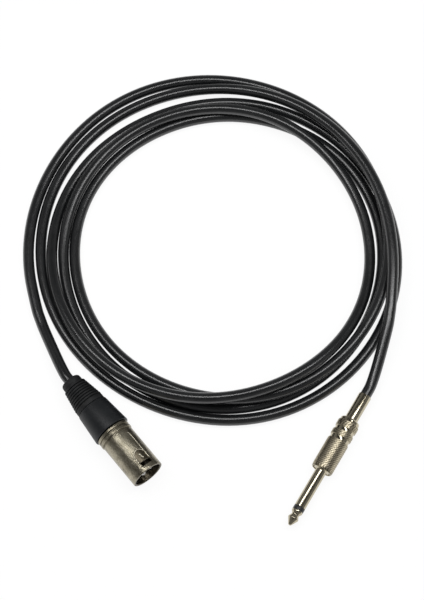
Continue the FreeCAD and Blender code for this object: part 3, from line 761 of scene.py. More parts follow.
def dress(piece: Piece, material: Material, slot: str, body: str, *nodes: str) -> Piece:
    """Give a piece its material, its body and the nodes that it stands for.

    Args:
        piece: The piece.
        material: Its material.
        slot: The material slot's name; not used.
        body: The body that it rides on.
        nodes: CAD nodes that it replaces.

    Returns:
        The same piece.
    """
    piece.data.materials.clear()
    piece.data.materials.append(material)
    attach(piece, body)
    if nodes:
        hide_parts(*nodes)
    LOG.info("%s stands for %s", piece.name, ", ".join(nodes) or "nothing else")
    return piece


def repaint(material: Material, *nodes: str) -> None:
    """Give CAD nodes that stay their material.

    Args:
        material: The material.
        nodes: The nodes' names.
    """
    for node in nodes:
        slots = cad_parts[node].data.materials
        if not slots:
            slots.append(material)
        for count in range(len(slots)):
            slots[count] = material
        LOG.info("%s keeps its shape", node)


# The cable

@dataclass
class Cable:
    """The cable from inside the three-pin plug, through the coil, into the jack."""

    diameter: float = 6.4
    lay_gap: float = 0.05
    floor_height: float = 3.2
    centre: Pair = (-0.2, 29.5)
    inner_lane_radius: float = 77.7
    first_angle: float = 202.5
    places_per_turn: int = 8
    points_per_place: int = 3
    end_drift: float = 3.1
    end_drop: float = -1.9
    lead_run: float = 7.0
    straight_at_plug: float = 6.0
    straight_at_jack: float = 9.0
    inside_connector: float = 6.0
    # The lane and level of every place, one list a turn; each turn starts at the first angle, clockwise
    turns: list[list[Pair]] = field(default_factory=lambda: [
        [(4.56, 0.08), (4.20, 0.06), (4.29, 0.00), (3.99, 0.24),
         (3.60, 1.04), (3.74, 1.02), (3.43, 1.05), (1.84, 0.58)],
        [(0.56, 0.00), (0.03, 0.00), (-0.03, 0.00), (1.01, 0.00),
         (2.72, 0.00), (3.46, 0.00), (3.74, 0.00), (2.85, 0.00)],
        [(1.61, 0.00), (0.89, 0.58), (0.68, 0.80), (0.98, 1.08),
         (1.52, 0.45), (2.42, 0.47), (2.90, 2.10), (3.08, 1.58)],
        [(2.55, 0.82), (1.87, 0.00), (1.42, 0.00), (2.37, 0.00),
         (3.73, 0.00), (4.88, 0.00), (4.88, 0.00), (3.86, 0.00)],
        [(3.40, 0.00), (3.19, 0.00), (3.11, 0.00), (3.11, 1.03), (3.29, 2.19), (4.76, 1.72)],
    ])

    @property
    def pitch(self) -> float:
        """How far apart the cable lies from itself: one lane, or one level."""
        return self.diameter + self.lay_gap

    def spot(self, radius: float, angle: float) -> Pair:
        """A spot on the floor, by its distance from the coil's middle and its angle in radians."""
        return self.centre[0] + radius * math.cos(angle), self.centre[1] + radius * math.sin(angle)

    def seat(self, lane: float, angle: float, height: float, heading: float, tilt: float = 0.0,
             roll: float = 0.0) -> Seat:
        """Where a connector lies beside the coil.

        Args:
            lane: How many cable pitches its tail lies outside the innermost turn.
            angle: Where around the coil, in degrees.
            height: Height of its tail's middle in millimetres.
            heading: Direction of its axis on the floor, in degrees.
            tilt: How far its front is lifted, in degrees.
            roll: How far it is rolled about its axis, in degrees.

        Returns:
            The seat.
        """
        radius = self.inner_lane_radius + lane * self.pitch
        return Seat(*self.spot(radius, math.radians(angle)), height, heading, tilt, roll)

    def places(self) -> list[Pair]:
        """The radius and height of every place of every turn."""
        return [(self.inner_lane_radius + lane * self.pitch, self.floor_height + level * self.pitch)
                for turn in self.turns for lane, level in turn]

    def slopes(self) -> list[Pair]:
        """Work out how steeply the coil passes its places.

        Returns:
            How fast the radius and the height change at every place, in millimetres per place.
        """
        places = self.places()
        slopes = [(places[1][0] - places[0][0], 0.0)]
        for before, here, after in zip(places, places[1:], places[2:]):
            rise_in, rise_out = here[1] - before[1], after[1] - here[1]
            climb = (rise_in + rise_out) / 2 if rise_in * rise_out > 0 else 0.0
            slopes.append(((after[0] - before[0]) / 2, climb))
        slopes.append((self.end_drift * self.pitch, self.end_drop * self.pitch))
        return slopes

    def angle(self, place: float) -> float:
        """Where around the coil a place lies, in radians."""
        return math.radians(self.first_angle - place * 360 / self.places_per_turn)

    def around(self, radius: float, height: float, place: float) -> Vector:
        """A point of the coil, at a place that may be part of the way to the next one."""
        return Vector((*self.spot(radius, self.angle(place)), height))

    @staticmethod
    def eased(start: float, leave: float, end: float, arrive: float, share: float) -> float:
        """A value between two places that leaves and arrives at given slopes.

        Args:
            start: Value at the first place.
            leave: Its slope there.
            end: Value at the second place.
            arrive: Its slope there.
            share: How far between them.

        Returns:
            The value.
        """
        square, cube = share ** 2, share ** 3
        return ((2 * cube - 3 * square + 1) * start + (cube - 2 * square + share) * leave
                + (3 * square - 2 * cube) * end + (cube - square) * arrive)

    def coil(self) -> list[Vector]:
        """Lay out the coil.

        Returns:
            Its control points, which lie a little outside the line that they draw.
        """
        places, slopes = self.places(), self.slopes()
        outside = 1 / math.cos(math.pi / (self.places_per_turn * self.points_per_place))
        points = []
        for index in range(len(places) - 1):
            bounds = [list(zip(places[end], slopes[end])) for end in (index, index + 1)]
            for count in range(self.points_per_place):
                share = count / self.points_per_place
                radius, height = (self.eased(*start, *end, share) for start, end in zip(*bounds))
                points.append(self.around(radius * outside, height, index + share))
        points.append(self.around(places[-1][0] * outside, places[-1][1], len(places) - 1))
        return points

    def heading(self, place: int) -> Vector:
        """Find the cable's direction at a place.

        Args:
            place: Which place of the coil.

        Returns:
            A vector of length 1.
        """
        radius = self.places()[place][0]
        drift, climb = self.slopes()[place]
        step = FULL_TURN / self.places_per_turn
        angle = self.angle(place)
        outward = Vector((math.cos(angle), math.sin(angle), 0))
        clockwise = Vector((math.sin(angle), -math.cos(angle), 0))
        return (clockwise * radius * step + outward * drift + Vector((0, 0, climb))).normalized()

    def route(self, plug: Seat, jack: Seat) -> list[Vector]:
        """Lead the cable from connector to connector.

        Args:
            plug: Where the three-pin plug lies.
            jack: Where the jack lies.

        Returns:
            Every control point in millimetres, from the three-pin plug to the jack.
        """
        coil = self.coil()
        start_way, end_way = self.heading(0), self.heading(len(self.places()) - 1)
        plug_tail, jack_tail = plug.point(0) / MM, jack.point(0) / MM
        plug_axis, jack_axis = plug.turn() @ Vector((1, 0, 0)), jack.turn() @ Vector((1, 0, 0))
        leave = coil[0] - start_way * self.diameter
        arrive = coil[-1] + end_way * self.diameter
        return [plug_tail + plug_axis * self.inside_connector, plug_tail,
                plug_tail - plug_axis * self.straight_at_plug, leave - start_way * self.lead_run, leave,
                *coil,
                arrive, arrive + end_way * self.lead_run, jack_tail - jack_axis * self.straight_at_jack,
                jack_tail, jack_tail + jack_axis * self.inside_connector]

    def build(self, plug: Seat, jack: Seat, jacket: Material) -> Piece:
        """Lay the cable.

        Args:
            plug: Where the three-pin plug lies.
            jack: Where the jack lies.
            jacket: Its finish.

        Returns:
            The curve object.
        """
        line = smooth_line("cable", self.route(plug, jack), self.diameter, Matrix.Scale(MM, 4), round_steps=7)
        return dress(line, jacket, "cable_jacket", "cable", "cable_coil", "xlr_lead", "jack_lead")


# The connectors

class Core(Enum):
    """The cable's cores: what each is called, how thick it is, and its material slot."""

    SHIELD = ("shield", 1.3, "copper_braid")
    HOT = ("hot", 1.4, "red_core")
    COLD = ("cold", 1.4, "white_core")


@dataclass(frozen=True)
class Stock:
    """The finishes that both connectors take."""

    jacket: Material
    contact: Material
    cores: dict[Core, Material]


@dataclass
class Connector:
    """What both connectors hold: the cable's straight end and its cores. Sizes count from the tail face."""

    seat: Seat
    piece_name: str = field(init=False)
    node_name: str = field(init=False)
    cable_end: float = field(init=False)
    cable_start: float = 6.2
    cable_radius: float = 3.15
    cut_radius: float = 2.3
    cut_depth: float = 0.3
    cut_slant: float = 0.1
    core_first_run: float = 1.5

    def cable_inside(self, jacket: Material) -> Piece:
        """The straight stretch of jacket inside the connector, with its cut end.

        Args:
            jacket: Its finish.

        Returns:
            The dressed piece.
        """
        cut = self.cable_end - self.cut_depth
        outline = [(self.cable_start, 0), (self.cable_start, self.cable_radius),
                   (self.cable_end, self.cable_radius, 0.15), (self.cable_end, self.cut_radius),
                   (cut, self.cut_radius - self.cut_slant), (cut, 0)]
        piece = turned("cable_in_" + self.piece_name, self.seat, outline, 40)
        return dress(piece, jacket, "cable_jacket", "cable", self.node_name + "_cable_end")

    def wire(self, core: Core, material: Material, first: Pair, last: Pair, end: float, run: float) -> None:
        """Lay one core from the jacket's end to its terminal.

        Args:
            core: Which core it is.
            material: Its finish.
            first: Where it leaves the jacket, to the side and up.
            last: Where its terminal is, to the side and up.
            end: How far along the axis it ends.
            run: Its straight run into the terminal.
        """
        name, diameter, slot = core.value
        points = [Vector((self.cable_end, *first)), Vector((self.cable_end + self.core_first_run, *first)),
                  Vector((end - run, *last)), Vector((end, *last))]
        line = smooth_line("%s_%s_core" % (self.piece_name, name), points, diameter, self.seat.matrix(),
                           length_steps=8)
        dress(line, material, slot, "cable", "%s_%s_wire" % (self.node_name, name))


@dataclass
class ThreePinPlug(Connector):
    """The three-pin plug: boot, gland nut, shell, and what is inside them."""

    piece_name: str = "plug"
    node_name: str = "xlr"
    cable_end: float = 35.0
    boot_clearance: float = 0.1
    collar_radius: float = 6.1
    collar_length: float = 3.6
    collar_side: float = 0.3
    collar_slope: float = 0.5
    tail_flare: float = 8.0
    flare_slope: float = 0.1
    neck_radius: float = 5.7
    rib_count: int = 8
    rib_pitch: float = 1.65
    first_rib: float = 4.9
    first_rib_radius: float = 6.95
    last_rib_radius: float = 8.9
    rib_depth: float = 1.0
    rib_crest: float = 0.95
    rib_floor: float = 0.22
    nut_start: float = 20.5
    nut_front: float = 38.3
    nut_rear_radius: float = 9.3
    nut_front_radius: float = 10.9
    lip_length: float = 2.3
    lip_radius: float = 7.0
    chamber_radius: float = 8.0
    nut_thread_length: float = 10.3
    thread: Thread = Thread(crest=8.2, depth=0.45, pitch=1.25)
    thread_rear: float = 30.8
    thread_runout: float = 0.2
    chuck_rear: float = 26.2
    shell_rear: float = 38.6
    mouth: float = 70.4
    shell_radius: float = 9.5
    shell_bore: float = 8.15
    rear_bore: float = 6.9
    ring_radius: float = 10.0
    ring_length: float = 1.8
    groove_length: float = 0.75
    groove_depth: float = 0.75
    insert_front: float = 55.4
    insert_rear: float = 45.5
    window_width: float = 6.6
    window_length: float = 2.7
    window_from_mouth: float = 4.2
    arch_width: float = 7.0
    arch_length: float = 7.0
    arch_depth: float = 0.5
    trench_width: float = 0.5
    rim_width: float = 0.66
    rim_sunk: float = 0.2
    rim_steps: int = 8
    bar_length: float = 3.0
    bar_width: float = 1.0
    bar_shift: float = 0.6
    bar_slant: float = 0.45
    line_width: float = 0.6
    line_length: float = 21.5
    line_hook: Pair = (0.6, 1.2)
    line_end_run: float = 2.0
    key_width: float = 2.2
    key_height: float = 0.8
    key_root: float = 0.6
    key_setback: float = 1.2
    edge_rounding: float = 0.12
    cup_floor: float = 43.95
    cup_run: float = 3.9
    wire_spread: float = 1.6
    pin_circle: float = 3.81

    @property
    def arch_front(self) -> float:
        """Where the arch opens into the window."""
        return self.mouth - self.window_from_mouth - self.window_length / 2

    @property
    def arch_bow(self) -> float:
        """The middle of the arch's round end."""
        return self.arch_front - self.arch_length + self.arch_width / 2

    @property
    def line_rear(self) -> float:
        """Where the guide line starts, by the rings."""
        return self.arch_front - self.line_length + self.arch_length / 2

    @property
    def arch_floor(self) -> float:
        """The radius of the floor of the arch and the guide line."""
        return self.shell_radius - self.arch_depth

    def rib(self, count: int) -> Outline:
        """One rib of the boot and the valley after it.

        Args:
            count: How many ribs come before it.

        Returns:
            Its corners.
        """
        middle = self.first_rib + count * self.rib_pitch
        valley = middle + self.rib_pitch / 2
        share = count / (self.rib_count - 1)
        crest = self.first_rib_radius + (self.last_rib_radius - self.first_rib_radius) * share
        return [(middle - self.rib_crest / 2, crest, 0.22), (middle + self.rib_crest / 2, crest, 0.22),
                (valley - self.rib_floor / 2, crest - self.rib_depth, 0.08),
                (valley + self.rib_floor / 2, crest - self.rib_depth, 0.08)]

    def boot(self) -> Piece:
        """The ribbed rubber boot, with a rounded bead at its tail and every rib rounded.

        Returns:
            The piece.
        """
        bore = self.cable_radius + self.boot_clearance
        lip = self.lip_radius - SLIDE_GAP
        flange_radius = self.chamber_radius - SLIDE_GAP
        last_valley = self.first_rib + (self.rib_count - 0.5) * self.rib_pitch
        shoulder = self.nut_start - SLIDE_GAP
        flange = self.nut_start + self.lip_length + SLIDE_GAP
        front = self.chuck_rear - SLIDE_GAP
        outline = [(self.tail_flare, bore), (0, bore + self.tail_flare * self.flare_slope, 0.3),
                   (0, self.collar_radius - self.collar_side, 1.0),
                   (self.collar_length - self.collar_slope, self.collar_radius, 1.0),
                   (self.collar_length, self.neck_radius, 0.2),
                   (self.first_rib - self.rib_pitch / 2, self.neck_radius, 0.1)]
        for count in range(self.rib_count):
            outline += self.rib(count)
        outline += [(last_valley + self.rib_floor, self.last_rib_radius, 0.2),
                    (shoulder, self.last_rib_radius, 0.3), (shoulder, lip), (flange, lip),
                    (flange, flange_radius), (front, flange_radius), (front, bore)]
        return turned("boot_ribbed", self.seat, outline, crease=SOFT_CREASE)

    def gland_nut(self) -> Piece:
        """The conical nut with rounded rims and a plain bore inside its mouth, over the shell's thread.

        Returns:
            The piece.
        """
        thread_rear = self.nut_front - self.nut_thread_length
        lip_front = self.nut_start + self.lip_length
        bore = self.thread.crest + SLIDE_GAP
        outline = [(self.nut_start, self.lip_radius), (self.nut_start, self.nut_rear_radius, 0.35),
                   (self.nut_front, self.nut_front_radius, 0.45), (self.nut_front, bore, 0.3),
                   (thread_rear, bore), (thread_rear, self.chamber_radius),
                   (lip_front, self.chamber_radius), (lip_front, self.lip_radius)]
        return turned("gland_nut", self.seat, outline, 112, SOFT_CREASE)

    def shell_body(self) -> Piece:
        """The shell before its window and arch are cut.

        Returns:
            A loose object in the plug's millimetres.
        """
        ring_1 = self.shell_rear + self.ring_length
        groove_1 = ring_1 + self.groove_length
        ring_2 = groove_1 + self.ring_length
        groove_2 = ring_2 + self.groove_length
        floor = self.ring_radius - self.groove_depth
        root = self.thread.root
        outline = [
            (self.thread_rear, self.rear_bore, 0.2), (self.thread_rear, root, 0.3),
            (self.shell_rear, root), (self.shell_rear, self.ring_radius, 0.35),
            (ring_1, self.ring_radius, 0.3), (ring_1, floor, 0.12), (groove_1, floor, 0.12),
            (groove_1, self.ring_radius, 0.3), (ring_2, self.ring_radius, 0.3),
            (ring_2, floor, 0.12), (groove_2, floor, 0.12), (groove_2, self.shell_radius, 0.2),
            (self.mouth, self.shell_radius, 0.4), (self.mouth, self.shell_bore, 0.4),
            (self.insert_rear, self.shell_bore), (self.insert_rear, self.rear_bore)]
        return loose("shell_black_nickel", spun(outline, 144))

    def floored(self, cutter: Piece, middle: float, length: float) -> Piece:
        """Stop a cutter at the arch's floor.

        Args:
            cutter: The cutter, which reaches too deep.
            middle: Where the floor's middle is along the axis.
            length: How long the floor is.

        Returns:
            The same cutter.
        """
        floor = rod("floor_rod", self.arch_floor, length, 144, Matrix.Translation((middle, 0, 0)) @ ALONG_X)
        combine(cutter, floor, Join.CUT)
        return cutter

    def arch_cutter(self) -> Piece:
        """The arch recess, with the trench around it.

        Returns:
            Its cutter.
        """
        bow = self.arch_bow
        half = self.arch_width / 2 + self.trench_width
        low, high = self.arch_floor - SPARE, self.shell_radius + SPARE
        cutter = block("arch_block", (bow, -half, low), (self.arch_front, half, high))
        middle = Matrix.Translation((bow, 0, (low + high) / 2))
        combine(cutter, rod("arch_bow", half, high - low, 48, middle), Join.ADD)
        return self.floored(cutter, bow, 3 * self.arch_length)

    def line_cutter(self) -> Piece:
        """The narrow guide line from the rings to the arch's side.

        Returns:
            Its cutter.
        """
        front, rear = self.arch_front - self.arch_length / 2, self.line_rear
        edge = self.arch_width / 2
        high = self.shell_radius + SPARE
        cutter = block("line_block", (rear, edge, 0), (front, edge + self.line_width, high))
        return self.floored(cutter, (rear + front) / 2, 2 * self.line_length)

    def window_cutter(self) -> Piece:
        """The latch window.

        Returns:
            Its cutter.
        """
        rear, half = self.arch_front, self.window_width / 2
        return block("window", (rear, -half, 0), (rear + self.window_length, half, self.shell_radius + SPARE))

    def key(self) -> Piece:
        """The ridge in the mouth that keys the socket.

        Returns:
            A loose object in the plug's millimetres.
        """
        low = (self.insert_front + SEAT_GAP, -self.key_width / 2, -self.shell_bore - self.key_root)
        high = (self.mouth - self.key_setback, self.key_width / 2, -self.shell_bore + self.key_height)
        return block("key", low, high)

    def shell(self) -> Piece:
        """The shell with its rings, arch, window, guide line and key.

        Returns:
            The piece.
        """
        body = self.shell_body()
        for cutter in (self.arch_cutter, self.line_cutter, self.window_cutter):
            combine(body, cutter(), Join.CUT)
        combine(body, self.key(), Join.ADD)
        settle(body, self.seat, self.edge_rounding)
        return body

    def shell_thread(self) -> Piece:
        """The thread that the gland nut screws over."""
        start, end = self.thread_rear + self.thread_runout, self.shell_rear - self.thread_runout
        return self.thread.ridge("shell_thread", self.seat, start, end)

    def trim(self, name: str, width: float, places: list[Pair]) -> Piece:
        """A raised line just under the shell's outer surface.

        Args:
            name: The piece's name.
            width: How wide it is.
            places: Its control points, along the axis and to the side.

        Returns:
            The piece.
        """
        radius = self.shell_radius - self.rim_sunk
        points = [Vector((along, side, math.sqrt(radius ** 2 - side ** 2))) for along, side in places]
        return smooth_line(name, points, width, self.seat.matrix())

    def arch_rim(self) -> Piece:
        """The raised rim that runs around the arch.

        Returns:
            The piece.
        """
        front, bow, half = self.arch_front, self.arch_bow, self.arch_width / 2
        reach = half / math.cos(math.pi / self.rim_steps / 2)
        turns = [math.pi * (count + 0.5) / self.rim_steps for count in range(self.rim_steps)]
        round_end = [(bow - reach * math.sin(turn), -reach * math.cos(turn)) for turn in turns]
        places = [(front, -half), (bow, -half), *round_end, (bow, half), (front, half)]
        return self.trim("arch_rim", self.rim_width, places)

    def guide_rim(self) -> Piece:
        """The raised edge of the guide line, from the arch's side back to the rings.

        Returns:
            The piece.
        """
        front, rear, edge = self.arch_front, self.line_rear, self.arch_width / 2
        back, aside = self.line_hook
        places = [(front - self.arch_length / 2, edge), (front - self.arch_length, edge),
                  (rear + self.line_end_run, edge), (rear, edge), (rear - back, edge - aside)]
        return self.trim("guide_rim", self.rim_width, places)

    def arch_bar(self) -> Piece:
        """The small bright bar that stands in the arch, a little across the axis.

        Returns:
            The piece.
        """
        middle, half = self.arch_bow + self.bar_shift, self.bar_length / 2
        places = [(middle + share * half, share * self.bar_slant) for share in (-1, 0, 1)]
        return self.trim("arch_bar", self.bar_width, places)

    def wires(self, cores: dict[Core, Material]) -> None:
        """The shield and the two cores, from the jacket to the solder cups.

        Args:
            cores: The finish of each core.
        """
        share = self.wire_spread / self.pin_circle
        ways = {Core.SHIELD: (1, 0), Core.HOT: (-1, 0), Core.COLD: (0, -1)}
        for core, (side, up) in ways.items():
            last = (side * self.pin_circle, up * self.pin_circle)
            first = (last[0] * share, last[1] * share)
            self.wire(core, cores[core], first, last, self.cup_floor, self.cup_run)

    def build(self, stock: Stock) -> None:
        """Build and dress the whole plug.

        Args:
            stock: The finishes that both connectors take.
        """
        rubber = MouldedRubber(self.seat).material()
        charcoal = MouldedPlastic(
            "nut_plastic", self.seat, deep=(0.0036, 0.0042, 0.0052), light=(0.0078, 0.0090, 0.0105),
            gloss=0.37, surface=Surface.SPARKED).material()
        # The hollow colour is painted shade: the arch floor, the guide line, part of the ring grooves and the
        # inside of the shell are darker than the outside.
        cast = PlatedMetal(
            "black_nickel", self.seat, deep=(0.15, 0.131, 0.094), bright=(0.50, 0.46, 0.355), gloss=0.25,
            surface=Surface.CAST, worked_from=(9.05, 9.4), hollow=(0.115, 0.10, 0.073),
            hollow_gloss=0.30).material()
        # The pale nickel of the arch rim, guide rim and bar is a painted highlight that keeps these raised
        # lines evenly bright.
        wear_and_highlight = PlatedMetal(
            "nickel_painted_highlight", self.seat, deep=(0.80, 0.74, 0.59), bright=(0.92, 0.87, 0.72),
            gloss=0.42).material()
        black = MouldedPlastic(
            "black_plastic", self.seat, deep=(0.012,) * 3, light=(0.03,) * 3, gloss=0.4).material()
        white = MouldedPlastic(
            "white_plastic", self.seat, deep=(0.62, 0.61, 0.57), light=(0.80, 0.79, 0.75),
            gloss=0.4).material()

        dress(self.boot(), rubber, "boot_rubber", "boot", "xlr_boot")
        dress(self.gland_nut(), charcoal, "nut_plastic", "gland_nut", "xlr_gland_nut")
        dress(self.shell(), cast, "black_nickel", "cable", "xlr_shell")
        dress(self.shell_thread(), cast, "black_nickel", "cable")
        for piece in (self.arch_rim(), self.guide_rim(), self.arch_bar()):
            dress(piece, wear_and_highlight, "black_nickel", "cable")
        self.cable_inside(stock.jacket)
        self.wires(stock.cores)
        repaint(black, "xlr_insert")
        repaint(white, "xlr_chuck")
        repaint(stock.contact, "xlr_pin_1", "xlr_pin_2", "xlr_pin_3")


@dataclass
class Jack(Connector):
    """The quarter-inch jack: tail tube, barrel, plug and what is inside them."""

    piece_name: str = "jack"
    node_name: str = "jack"
    cable_end: float = 27.8
    tail_radius: float = 3.75
    tail_wall: float = 0.32
    tail_length: float = 16.4
    tail_inner_end: float = 20.4
    bead_radius: float = 4.1
    bead_length: float = 0.5
    flange_radius: float = 4.6
    flange_length: float = 1.2
    barrel_front: float = 49.8
    barrel_radius: float = 6.25
    rear_radius: float = 5.0
    groove_radius: float = 5.7
    shoulder_length: float = 0.9
    groove_ends: tuple[Pair, ...] = ((0.0, 2.6), (6.5, 8.7), (12.0, 14.4))
    groove_side: float = 0.15
    knurl_row: float = 0.8
    knurl_steps: int = 48
    knurl_depth: float = 0.32
    knurl_phase: float = 0.25
    recess: float = 0.8
    lip: float = 1.3
    thread: Thread = Thread(crest=5.0, depth=0.4, pitch=1.0)
    thread_start: float = 0.1
    thread_stop: float = 0.4
    collar_rear: float = 43.8
    face_slope: float = 0.3
    face_step: float = 0.5
    plug_radius: float = 3.175
    sleeve_end: float = 73.6
    tip_start: float = 76.0
    tip_land: float = 0.9
    tip_end: float = 85.2
    waist_at: float = 2.5
    tip_waist: float = 2.0
    head_at: float = 4.9
    head_radius: float = 3.15
    end_radius: float = 0.7
    rod_radius: float = 1.2
    rivet_radius: float = 1.8
    rivet_length: float = 1.0
    core_bore: float = 2.3
    lug_rear: float = 41.2

    def tail_tube(self) -> Piece:
        """The smooth metal tube that guards the cable, with a rolled rear rim and its trapped bead.

        Returns:
            The piece.
        """
        inner = self.tail_radius - self.tail_wall
        bead_end = self.tail_length + self.bead_length
        flange = self.tail_length + self.recess + self.lip + SLIDE_GAP
        flange_end = flange + self.flange_length
        outline = [(0, inner, 0.1), (0, self.tail_radius, 0.15), (self.tail_length, self.tail_radius),
                   (self.tail_length, self.bead_radius, 0.15), (bead_end, self.bead_radius, 0.15),
                   (bead_end, self.tail_radius), (flange, self.tail_radius), (flange, self.flange_radius),
                   (flange_end, self.flange_radius), (flange_end, self.tail_radius),
                   (self.tail_inner_end, self.tail_radius), (self.tail_inner_end, inner)]
        return turned("tail_tube", self.seat, outline, 72)

    def knurl_rows(self, band_start: float) -> Outline:
        """The rows of points of one knurled band.

        Args:
            band_start: Where the band starts along the axis.

        Returns:
            A corner for each row.
        """
        starts = [self.tail_length + start for start, _ in self.groove_ends if start > 0]
        band_end = next((start for start in starts if start > band_start), self.barrel_front - self.knurl_row)
        count = int((band_end - band_start) / self.knurl_row)
        return [(band_start + (row + 0.5) * self.knurl_row, self.barrel_radius) for row in range(count)]

    def press(self, vert: bmesh.types.BMVert) -> None:
        """Push every other point of the knurl inwards, in a chequered order.

        Args:
            vert: A point of the knurl.
        """
        step = round(math.atan2(vert.co.z, vert.co.y) / FULL_TURN * self.knurl_steps)
        row = round((vert.co.x - self.tail_length) / self.knurl_row - self.knurl_phase)
        if (step + row) % 2:
            share = 1 - self.knurl_depth / self.barrel_radius
            vert.co.y *= share
            vert.co.z *= share

    def barrel(self) -> Piece:
        """The screw-on barrel with its rounded shoulder and the smooth grooves between its knurled bands.

        Returns:
            The piece.
        """
        rear = self.tail_length
        recess = rear + self.recess
        lip = recess + self.lip
        bore = self.thread.crest + SLIDE_GAP
        lip_bore = self.tail_radius + SLIDE_GAP
        recess_bore = self.bead_radius + SLIDE_GAP
        brink = self.barrel_radius - self.knurl_depth / 2
        outline = [(rear, recess_bore, 0.1), (rear, self.rear_radius, 0.3),
                   (rear + self.shoulder_length, self.groove_radius, 0.3)]
        for start, end in self.groove_ends:
            if start > 0:
                outline += [(rear + start, brink), (rear + start + self.groove_side, self.groove_radius, 0.1)]
            outline += [(rear + end - self.groove_side, self.groove_radius, 0.1), (rear + end, brink)]
            outline += self.knurl_rows(rear + end)
        outline += [(self.barrel_front, self.barrel_radius - self.knurl_depth, 0.3),
                    (self.barrel_front, bore, 0.15), (lip, bore), (lip, lip_bore), (recess, lip_bore),
                    (recess, recess_bore)]
        bm = spun(outline, self.knurl_steps)
        for vert in bm.verts:
            if abs(math.hypot(vert.co.y, vert.co.z) - self.barrel_radius) < MERGE_GAP / 2:
                self.press(vert)
        return collect("barrel_knurled", bm, self.seat.matrix(), 50.0)

    def sleeve(self) -> Piece:
        """The plug's earthed sleeve with its collar and thread root.

        Returns:
            The piece.
        """
        face, root = self.barrel_front, self.thread.root
        outline = [(self.collar_rear, self.core_bore), (self.collar_rear, root, 0.2),
                   (face - self.face_slope, root, 0.15),
                   (face - self.face_slope, self.plug_radius + self.face_step, 0.1),
                   (face + self.face_slope, self.plug_radius, 0.2),
                   (self.sleeve_end, self.plug_radius, 0.08), (self.sleeve_end, self.core_bore)]
        return turned("plug_sleeve", self.seat, outline, crease=SOFT_CREASE)

    def collar_thread(self) -> Piece:
        """The thread that the barrel screws over."""
        start, end = self.collar_rear + self.thread_start, self.barrel_front - self.thread_stop
        return self.thread.ridge("collar_thread", self.seat, start, end)

    def ring(self) -> Piece:
        """The black insulating ring.

        Returns:
            The piece.
        """
        bore = self.rod_radius + SEAT_GAP
        outline = [(self.sleeve_end, bore), (self.sleeve_end, self.plug_radius, 0.06),
                   (self.tip_start, self.plug_radius, 0.06), (self.tip_start, bore)]
        return turned("insulating_ring", self.seat, outline)

    def tip(self) -> Piece:
        """The tip with its collar, waist and pointed head, and the riveted rod behind it.

        Returns:
            The piece.
        """
        start, rivet = self.tip_start, self.lug_rear - self.rivet_length
        outline = [(rivet, 0), (rivet, self.rivet_radius, 0.3), (self.lug_rear, self.rivet_radius),
                   (self.lug_rear, self.rod_radius), (start, self.rod_radius),
                   (start, self.plug_radius, 0.08), (start + self.tip_land, self.plug_radius, 0.25),
                   (start + self.waist_at, self.tip_waist, 0.55),
                   (start + self.head_at, self.head_radius, 0.35),
                   (self.tip_end, self.end_radius, 0.55), (self.tip_end, 0)]
        return turned("tip", self.seat, outline, crease=50.0)

    def wires(self, cores: dict[Core, Material]) -> None:
        """The hot core and the twisted shield, from the jacket to their lugs.

        Args:
            cores: The finish of each core.
        """
        hot, shield = cores[Core.HOT], cores[Core.SHIELD]
        self.wire(Core.HOT, hot, first=(0, 1.2), last=(0, 1.35), end=self.lug_rear - 1.2, run=6.0)
        self.wire(Core.SHIELD, shield, first=(0, -1.2), last=(0, -2.95), end=self.lug_rear - 3.0, run=4.0)

    def build(self, stock: Stock) -> list[Piece]:
        """Build and dress the whole jack.

        Args:
            stock: The finishes that both connectors take.

        Returns:
            The separate pieces that the cable carries at this end.
        """
        polished = PlatedMetal(
            "nickel_polished", self.seat, deep=(0.42, 0.375, 0.275), bright=(0.58, 0.525, 0.395),
            gloss=0.09).material()
        knurled = PlatedMetal(
            "nickel_knurled", self.seat, deep=(0.46, 0.405, 0.29), bright=(0.74, 0.66, 0.50), gloss=0.32,
            surface=Surface.KNURLED, worked_from=(5.8, 5.9), hollow=(0.50, 0.45, 0.335),
            hollow_gloss=0.05).material()
        black = MouldedPlastic(
            "black_ring_plastic", self.seat, deep=(0.010,) * 3, light=(0.025,) * 3, gloss=0.3).material()
        white = MouldedPlastic(
            "white_liner_plastic", self.seat, deep=(0.62, 0.61, 0.57), light=(0.80, 0.79, 0.75),
            gloss=0.4).material()

        pieces = [
            dress(self.tail_tube(), polished, "nickel", "tail_tube", "jack_tail_tube"),
            dress(self.barrel(), knurled, "nickel", "barrel", "jack_barrel"),
            dress(self.sleeve(), polished, "nickel", "cable", "jack_plug_sleeve"),
            dress(self.collar_thread(), polished, "nickel", "cable"),
            dress(self.ring(), black, "black_plastic", "cable", "jack_insulating_ring"),
            dress(self.tip(), polished, "nickel", "cable", "jack_tip"),
            self.cable_inside(stock.jacket)]
        self.wires(stock.cores)
        repaint(white, "jack_liner")
        repaint(black, "jack_core_tube", "jack_rear_washer")
        repaint(stock.contact, "jack_tip_lug", "jack_ground_clamp")
        return pieces


# The studio

@dataclass(frozen=True)
class Lamp:
    """A soft rectangular lamp: where it hangs and its size, both in metres, and its power in watts."""

    name: str
    place: tuple[float, float, float]
    size: Pair
    power: float
    mirrored: bool = True

    def hang(self, aim: Vector) -> None:
        """Hang the lamp.

        Args:
            aim: The point that it faces.
        """
        data = bpy.data.lights.new(self.name, "AREA")
        data.shape = "RECTANGLE"
        data.size, data.size_y = self.size
        data.energy = self.power
        lamp = linked(self.name, data)
        lamp.location = self.place
        lamp.visible_glossy = self.mirrored
        lamp.rotation_euler = (aim - Vector(self.place)).to_track_quat("-Z", "Y").to_euler()


